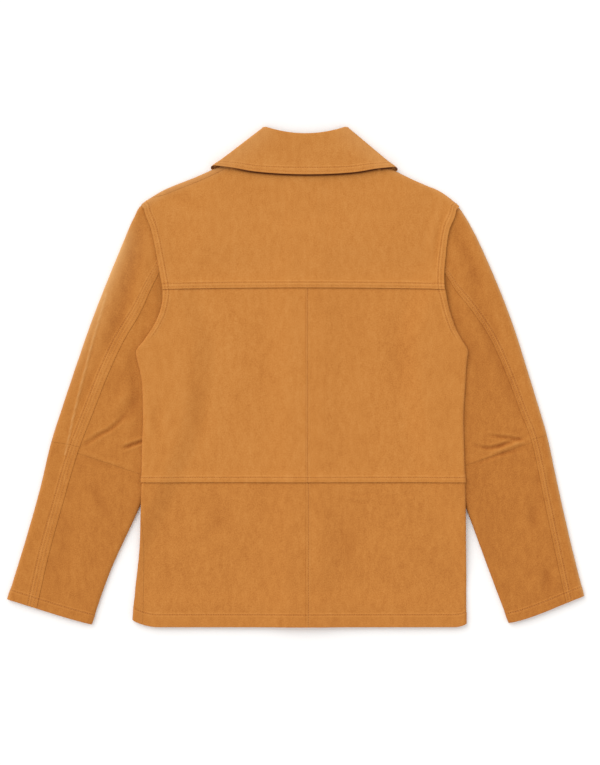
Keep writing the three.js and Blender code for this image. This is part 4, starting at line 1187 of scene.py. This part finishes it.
def thread_mesh(name, rows):
    corners, faces = [], []
    for _, edge, row, outside, normal, distance, reach in rows:
        path, normals = stitch_path(edge, row, outside, normal, distance)
        if reach:
            kept = reach(path[:, 1]) > 0.5
            path, normals = path[kept], normals[kept]
        run = np.concatenate([[0], np.cumsum(np.linalg.norm(np.diff(path, axis=0), axis=1))])
        count = int((run[-1] - 2) // STITCH_PITCH)
        at = 1 + (np.arange(count) + 0.5) * (run[-1] - 2) / max(count, 1)
        centre = np.stack([np.interp(at, run, path[:, k]) for k in range(3)], axis=1)
        ahead = np.stack([np.interp(at + 0.8, run, path[:, k]) for k in range(3)], axis=1)
        up = unit(np.stack([np.interp(at, run, normals[:, k]) for k in range(3)], axis=1))
        along = unit(ahead - centre)
        side_way = unit(np.cross(up, along))
        reach = BEAD[:, 2] * STITCH_LENGTH / 2
        dip = -THREAD_DIP * (BEAD[:, 2] ** 2)
        for i in range(count):
            start = len(corners) * len(BEAD)
            place = (
                centre[i]
                + np.outer(reach, along[i])
                + np.outer(BEAD[:, 0] * THREAD_RADIUS, side_way[i])
                + np.outer(BEAD[:, 1] * THREAD_RADIUS * THREAD_FLATNESS + dip + THREAD_LIFT, up[i])
            )
            corners.append(place)
            faces.extend([[start + corner for corner in face] for face in BEAD_FACES])
    mesh = bpy.data.meshes.new(name)
    mesh.from_pydata((np.concatenate(corners) * MM).tolist(), [], faces)
    mesh.polygons.foreach_set("use_smooth", [True] * len(mesh.polygons))
    piece = bpy.data.objects.new(name, mesh)
    bpy.context.scene.collection.objects.link(piece)
    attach(piece, "root")
    print(f"{name}: {len(corners)} stitches, {2 * len(faces)} triangles at most")
    return piece


THREADS = {
    "thread_back": ("suede_back", "back_suede"),
    "thread_fronts": ("suede_front", "front_suede"),
    "thread_sleeves": ("suede_left", "sleeve_suede"),
    "thread_sleeves_right": ("suede_right", "sleeve_suede"),
    "thread_collar": ("suede_collar", "collar_suede"),
}
threads = []
for name, (start, slot) in THREADS.items():
    rows = [row for row in stitch_rows if row[0].startswith(start)]
    threads.append(thread_mesh(name, rows))

# %% [markdown]
# ## Small helpers for materials
# Colours are written as sRGB and turned linear in one place. One function adds a node with its links.

# %% Helpers for materials


def linear(colour):
    """An sRGB hex colour as linear values for a shader."""
    values = [(colour >> shift & 255) / 255 for shift in (16, 8, 0)]
    return [value / 12.92 if value <= 0.04045 else ((value + 0.055) / 1.055) ** 2.4 for value in values] + [1]


def add_node(tree, kind, settings=None, inputs=None):
    """Adds one node. A socket given as an input is linked, and any other value is set."""
    node = tree.nodes.new(kind)
    for key, value in (settings or {}).items():
        setattr(node, key, value)
    for key, value in (inputs or {}).items():
        if isinstance(value, bpy.types.NodeSocket):
            tree.links.new(value, node.inputs[key])
        else:
            node.inputs[key].default_value = value
    return node


def noise(tree, place, size, detail=3.0, roughness=0.55):
    """Noise whose blotches are about `size` millimetres across."""
    return add_node(
        tree, "ShaderNodeTexNoise", None,
        {"Vector": place, "Scale": 1 / (size * MM), "Detail": detail, "Roughness": roughness},
    ).outputs["Fac"]


def add_up(tree, terms):
    """The sum of factor times socket over the terms, from a middle of 0.5. Noise is centred first."""
    total = None
    for socket, factor, centre in terms:
        offset = -factor * centre + (0.5 if total is None else 0.0)
        inputs = {0: socket, 1: factor, 2: offset}
        term = add_node(tree, "ShaderNodeMath", {"operation": "MULTIPLY_ADD"}, inputs).outputs[0]
        if total is None:
            total = term
        else:
            total = add_node(tree, "ShaderNodeMath", {"operation": "ADD"}, {0: total, 1: term}).outputs[0]
    return total


def attribute(tree, name):
    return add_node(tree, "ShaderNodeAttribute", {"attribute_name": name}).outputs["Fac"]


print("helpers for materials are ready")

# %% [markdown]
# ## Suede
# Suede is matt, with a soft nap that scatters light towards its edges. Brushed one way it looks lighter
# and the other way darker, so its colour wanders at several scales.

# %% Suede
# The deep brown of the painted shadow under the collar leaf's edge.
PAINTED_SHADOW_BROWN = 0x501C06
# The pale colour of the painted highlight on the folds.
PAINTED_HIGHLIGHT = 0xE6BA80
SHEEN = 0xE8B884


def suede(name, dark, middle, light):
    material = bpy.data.materials.new(name)
    material.use_nodes = True
    tree = material.node_tree
    shader = tree.nodes["Principled BSDF"]
    place = add_node(tree, "ShaderNodeTexCoord").outputs["Object"]
    along_the_nap = {"Vector": place, "Scale": (1.0, 0.45, 1.0)}
    brushed = add_node(tree, "ShaderNodeMapping", None, along_the_nap).outputs[0]
    blotch = noise(tree, place, 62, 3.0)
    mottle = noise(tree, brushed, 8, 4.0, 0.6)
    nap = noise(tree, place, 1.6, 3.0, 0.7)
    value = add_up(
        tree,
        [
            (blotch, 0.16, 0.5),
            (mottle, 0.42, 0.5),
            (nap, 0.85, 0.5),
            (attribute(tree, "tone"), 0.2, 0.0),
            # Painted shade in the rows of stitches and painted highlight beside them.
            (attribute(tree, "line"), -0.3, 0.0),
            # Painted shade in the creases and painted highlight on their ridges.
            (attribute(tree, "crease"), -0.25, 0.0),
        ],
    )
    ramp = add_node(tree, "ShaderNodeValToRGB", None, {"Fac": value})
    ramp.color_ramp.elements[0].color = linear(dark)
    ramp.color_ramp.elements[0].position = 0.1
    ramp.color_ramp.elements[1].color = linear(light)
    ramp.color_ramp.elements[1].position = 0.9
    centre = ramp.color_ramp.elements.new(0.5)
    centre.color = linear(middle)
    # Painted highlight along the folds.
    highlighted = add_node(
        tree, "ShaderNodeMixRGB", None,
        {"Fac": attribute(tree, "paint_highlight"), "Color1": ramp.outputs["Color"], "Color2": linear(PAINTED_HIGHLIGHT)},
    )
    # Painted shadow under the leaf's edge.
    shaded = add_node(
        tree, "ShaderNodeMixRGB", None,
        {"Fac": attribute(tree, "shade"), "Color1": highlighted.outputs[0], "Color2": linear(PAINTED_SHADOW_BROWN)},
    )
    tree.links.new(shaded.outputs[0], shader.inputs["Base Color"])
    grain = noise(tree, place, 2.6, 4.0, 0.65)
    soft = noise(tree, place, 9, 3.0, 0.5)
    fine = add_node(tree, "ShaderNodeBump", None, {"Height": grain, "Strength": 0.35, "Distance": 0.0006})
    broad = add_node(
        tree, "ShaderNodeBump", None,
        {"Height": soft, "Strength": 0.35, "Distance": 0.0012, "Normal": fine.outputs["Normal"]},
    )
    tree.links.new(broad.outputs["Normal"], shader.inputs["Normal"])
    shader.inputs["Roughness"].default_value = 0.93
    shader.inputs["Specular IOR Level"].default_value = 0.15
    shader.inputs["Sheen Weight"].default_value = 0.18
    shader.inputs["Sheen Roughness"].default_value = 0.6
    shader.inputs["Sheen Tint"].default_value = linear(SHEEN)
    return material


SUEDE_BACK = suede("suede_tan_back", 0xA25F25, 0xBF7C39, 0xCF904D)
SUEDE_SLEEVE = suede("suede_tan_sleeve", 0x9B5922, 0xB97634, 0xCA8A47)
SUEDE_COLLAR = suede("suede_tan_collar", 0xA25F25, 0xBD7B39, 0xCE904D)
SUEDE_FRONT = suede("suede_tan_front", 0x9F5D24, 0xBB7837, 0xCB8C49)
for name, data in pieces.items():
    material = SUEDE_BACK
    if name.startswith(("suede_left", "suede_right")):
        material = SUEDE_SLEEVE
    elif name.startswith("suede_collar"):
        material = SUEDE_COLLAR
    elif name.startswith("suede_front"):
        material = SUEDE_FRONT
    data["object"].data.materials.append(material)
print("suede on", len(pieces), "pieces")

# %% [markdown]
# ## Thread and horn
# Thread is a little darker than the suede and smoother. The buttons are polished horn with long streaks.


# %% Thread and horn
def thread_finish(name, colour):
    """Polyester thread: a small twist and a faint gloss."""
    material = bpy.data.materials.new(name)
    material.use_nodes = True
    tree = material.node_tree
    shader = tree.nodes["Principled BSDF"]
    place = add_node(tree, "ShaderNodeTexCoord").outputs["Object"]
    twist = noise(tree, place, 0.8, 2.0)
    mixed = add_node(
        tree, "ShaderNodeMix", {"data_type": "RGBA"},
        {"Factor": twist, "A": linear(colour), "B": linear(colour + 0x101008)},
    )
    tree.links.new(mixed.outputs[2], shader.inputs["Base Color"])
    bump = add_node(tree, "ShaderNodeBump", None, {"Height": twist, "Strength": 0.3, "Distance": 0.0002})
    tree.links.new(bump.outputs["Normal"], shader.inputs["Normal"])
    shader.inputs["Roughness"].default_value = 0.6
    return material


THREAD = thread_finish("thread_tan", 0xC88844)
for piece in threads:
    piece.data.materials.append(THREAD)


def horn_finish():
    """Horn: dark brown with lighter streaks and a soft polish."""
    material = bpy.data.materials.new("horn_brown")
    material.use_nodes = True
    tree = material.node_tree
    shader = tree.nodes["Principled BSDF"]
    place = add_node(tree, "ShaderNodeTexCoord").outputs["Object"]
    drawn = add_node(tree, "ShaderNodeMapping", None, {"Vector": place, "Scale": (1.0, 0.25, 1.0)}).outputs[0]
    streak = noise(tree, drawn, 2.4, 3.0)
    ramp = add_node(tree, "ShaderNodeValToRGB", None, {"Fac": streak})
    ramp.color_ramp.elements[0].color = linear(0x2E1B0E)
    ramp.color_ramp.elements[0].position = 0.35
    ramp.color_ramp.elements[1].color = linear(0x7A5230)
    ramp.color_ramp.elements[1].position = 0.7
    tree.links.new(ramp.outputs["Color"], shader.inputs["Base Color"])
    shader.inputs["Roughness"].default_value = 0.38
    return material


HORN = horn_finish()
for name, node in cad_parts.items():
    if name.startswith("button_"):
        node.data.materials.clear()
        node.data.materials.append(HORN)
print("thread on", len(threads), "pieces, horn on the buttons")

# %% [markdown]
# ## Cut sizes
# Each piece is a sheet of suede that lies on what is under it. Its cut is as wide and long as its form
# is along the cloth.

# %% [markdown]
# ## The floor
# The jacket lies on a plain pale floor, a hair below it so that the two never share a plane.

# %% Floor
FLOOR_Z = -0.0002


def make_floor():
    mesh = bpy.data.meshes.new("floor")
    form = bmesh.new()
    bmesh.ops.create_grid(form, x_segments=1, y_segments=1, size=4)
    form.to_mesh(mesh)
    form.free()
    floor = bpy.data.objects.new("floor", mesh)
    bpy.context.scene.collection.objects.link(floor)
    for vert in mesh.vertices:
        vert.co.z = FLOOR_Z
    material = bpy.data.materials.new("floor_white")
    material.use_nodes = True
    shader = material.node_tree.nodes["Principled BSDF"]
    shader.inputs["Base Color"].default_value = (0.95, 0.95, 0.95, 1)
    shader.inputs["Roughness"].default_value = 1.0
    shader.inputs["Specular IOR Level"].default_value = 0.0
    mesh.materials.append(material)
    return floor


floor = make_floor()
print("floor at", FLOOR_Z, "m")

# %% [markdown]
# ## Light
# A bright even room gives most of the light, and a broad soft sun from the upper left gives the folds form.

# %% Light
scene = bpy.context.scene
scene.view_settings.view_transform = "Standard"
world = bpy.data.worlds.new("studio")
scene.world = world
world.use_nodes = True
world.node_tree.nodes["Background"].inputs["Color"].default_value = (1.0, 0.99, 0.98, 1)
world.node_tree.nodes["Background"].inputs["Strength"].default_value = 0.86

key = bpy.data.lights.new("key", "SUN")
key.energy = 1.35
key.angle = math.radians(48)
key.color = (1.0, 0.985, 0.96)
key_object = bpy.data.objects.new("key", key)
key_object.rotation_euler = (math.radians(-34), math.radians(-38), 0)
scene.collection.objects.link(key_object)
print("key light:", round(key.energy, 2))

# %% [markdown]
# ## Camera
# It looks straight down from three metres, so the sleeves and the body keep their true proportions.

# %% Camera
VIEW_WIDTH = 0.9
CAMERA_HEIGHT = 3.0
VIEW_CENTRE = (0.006, -0.00825)
camera = bpy.data.cameras.new("camera")
camera.sensor_fit = "HORIZONTAL"
camera.sensor_width = 36
camera.lens = camera.sensor_width * CAMERA_HEIGHT / VIEW_WIDTH
camera.clip_end = 20
camera_object = bpy.data.objects.new("camera", camera)
camera_object.location = (*VIEW_CENTRE, CAMERA_HEIGHT)
scene.collection.objects.link(camera_object)
scene.camera = camera_object
print("lens:", round(camera.lens), "mm")

# %% [markdown]
# ## Finish
# Each sheet states its cut, and the script notes both boxes before it finishes.

# %% Finish
for name, data in pieces.items():
    width, length = data["size"]
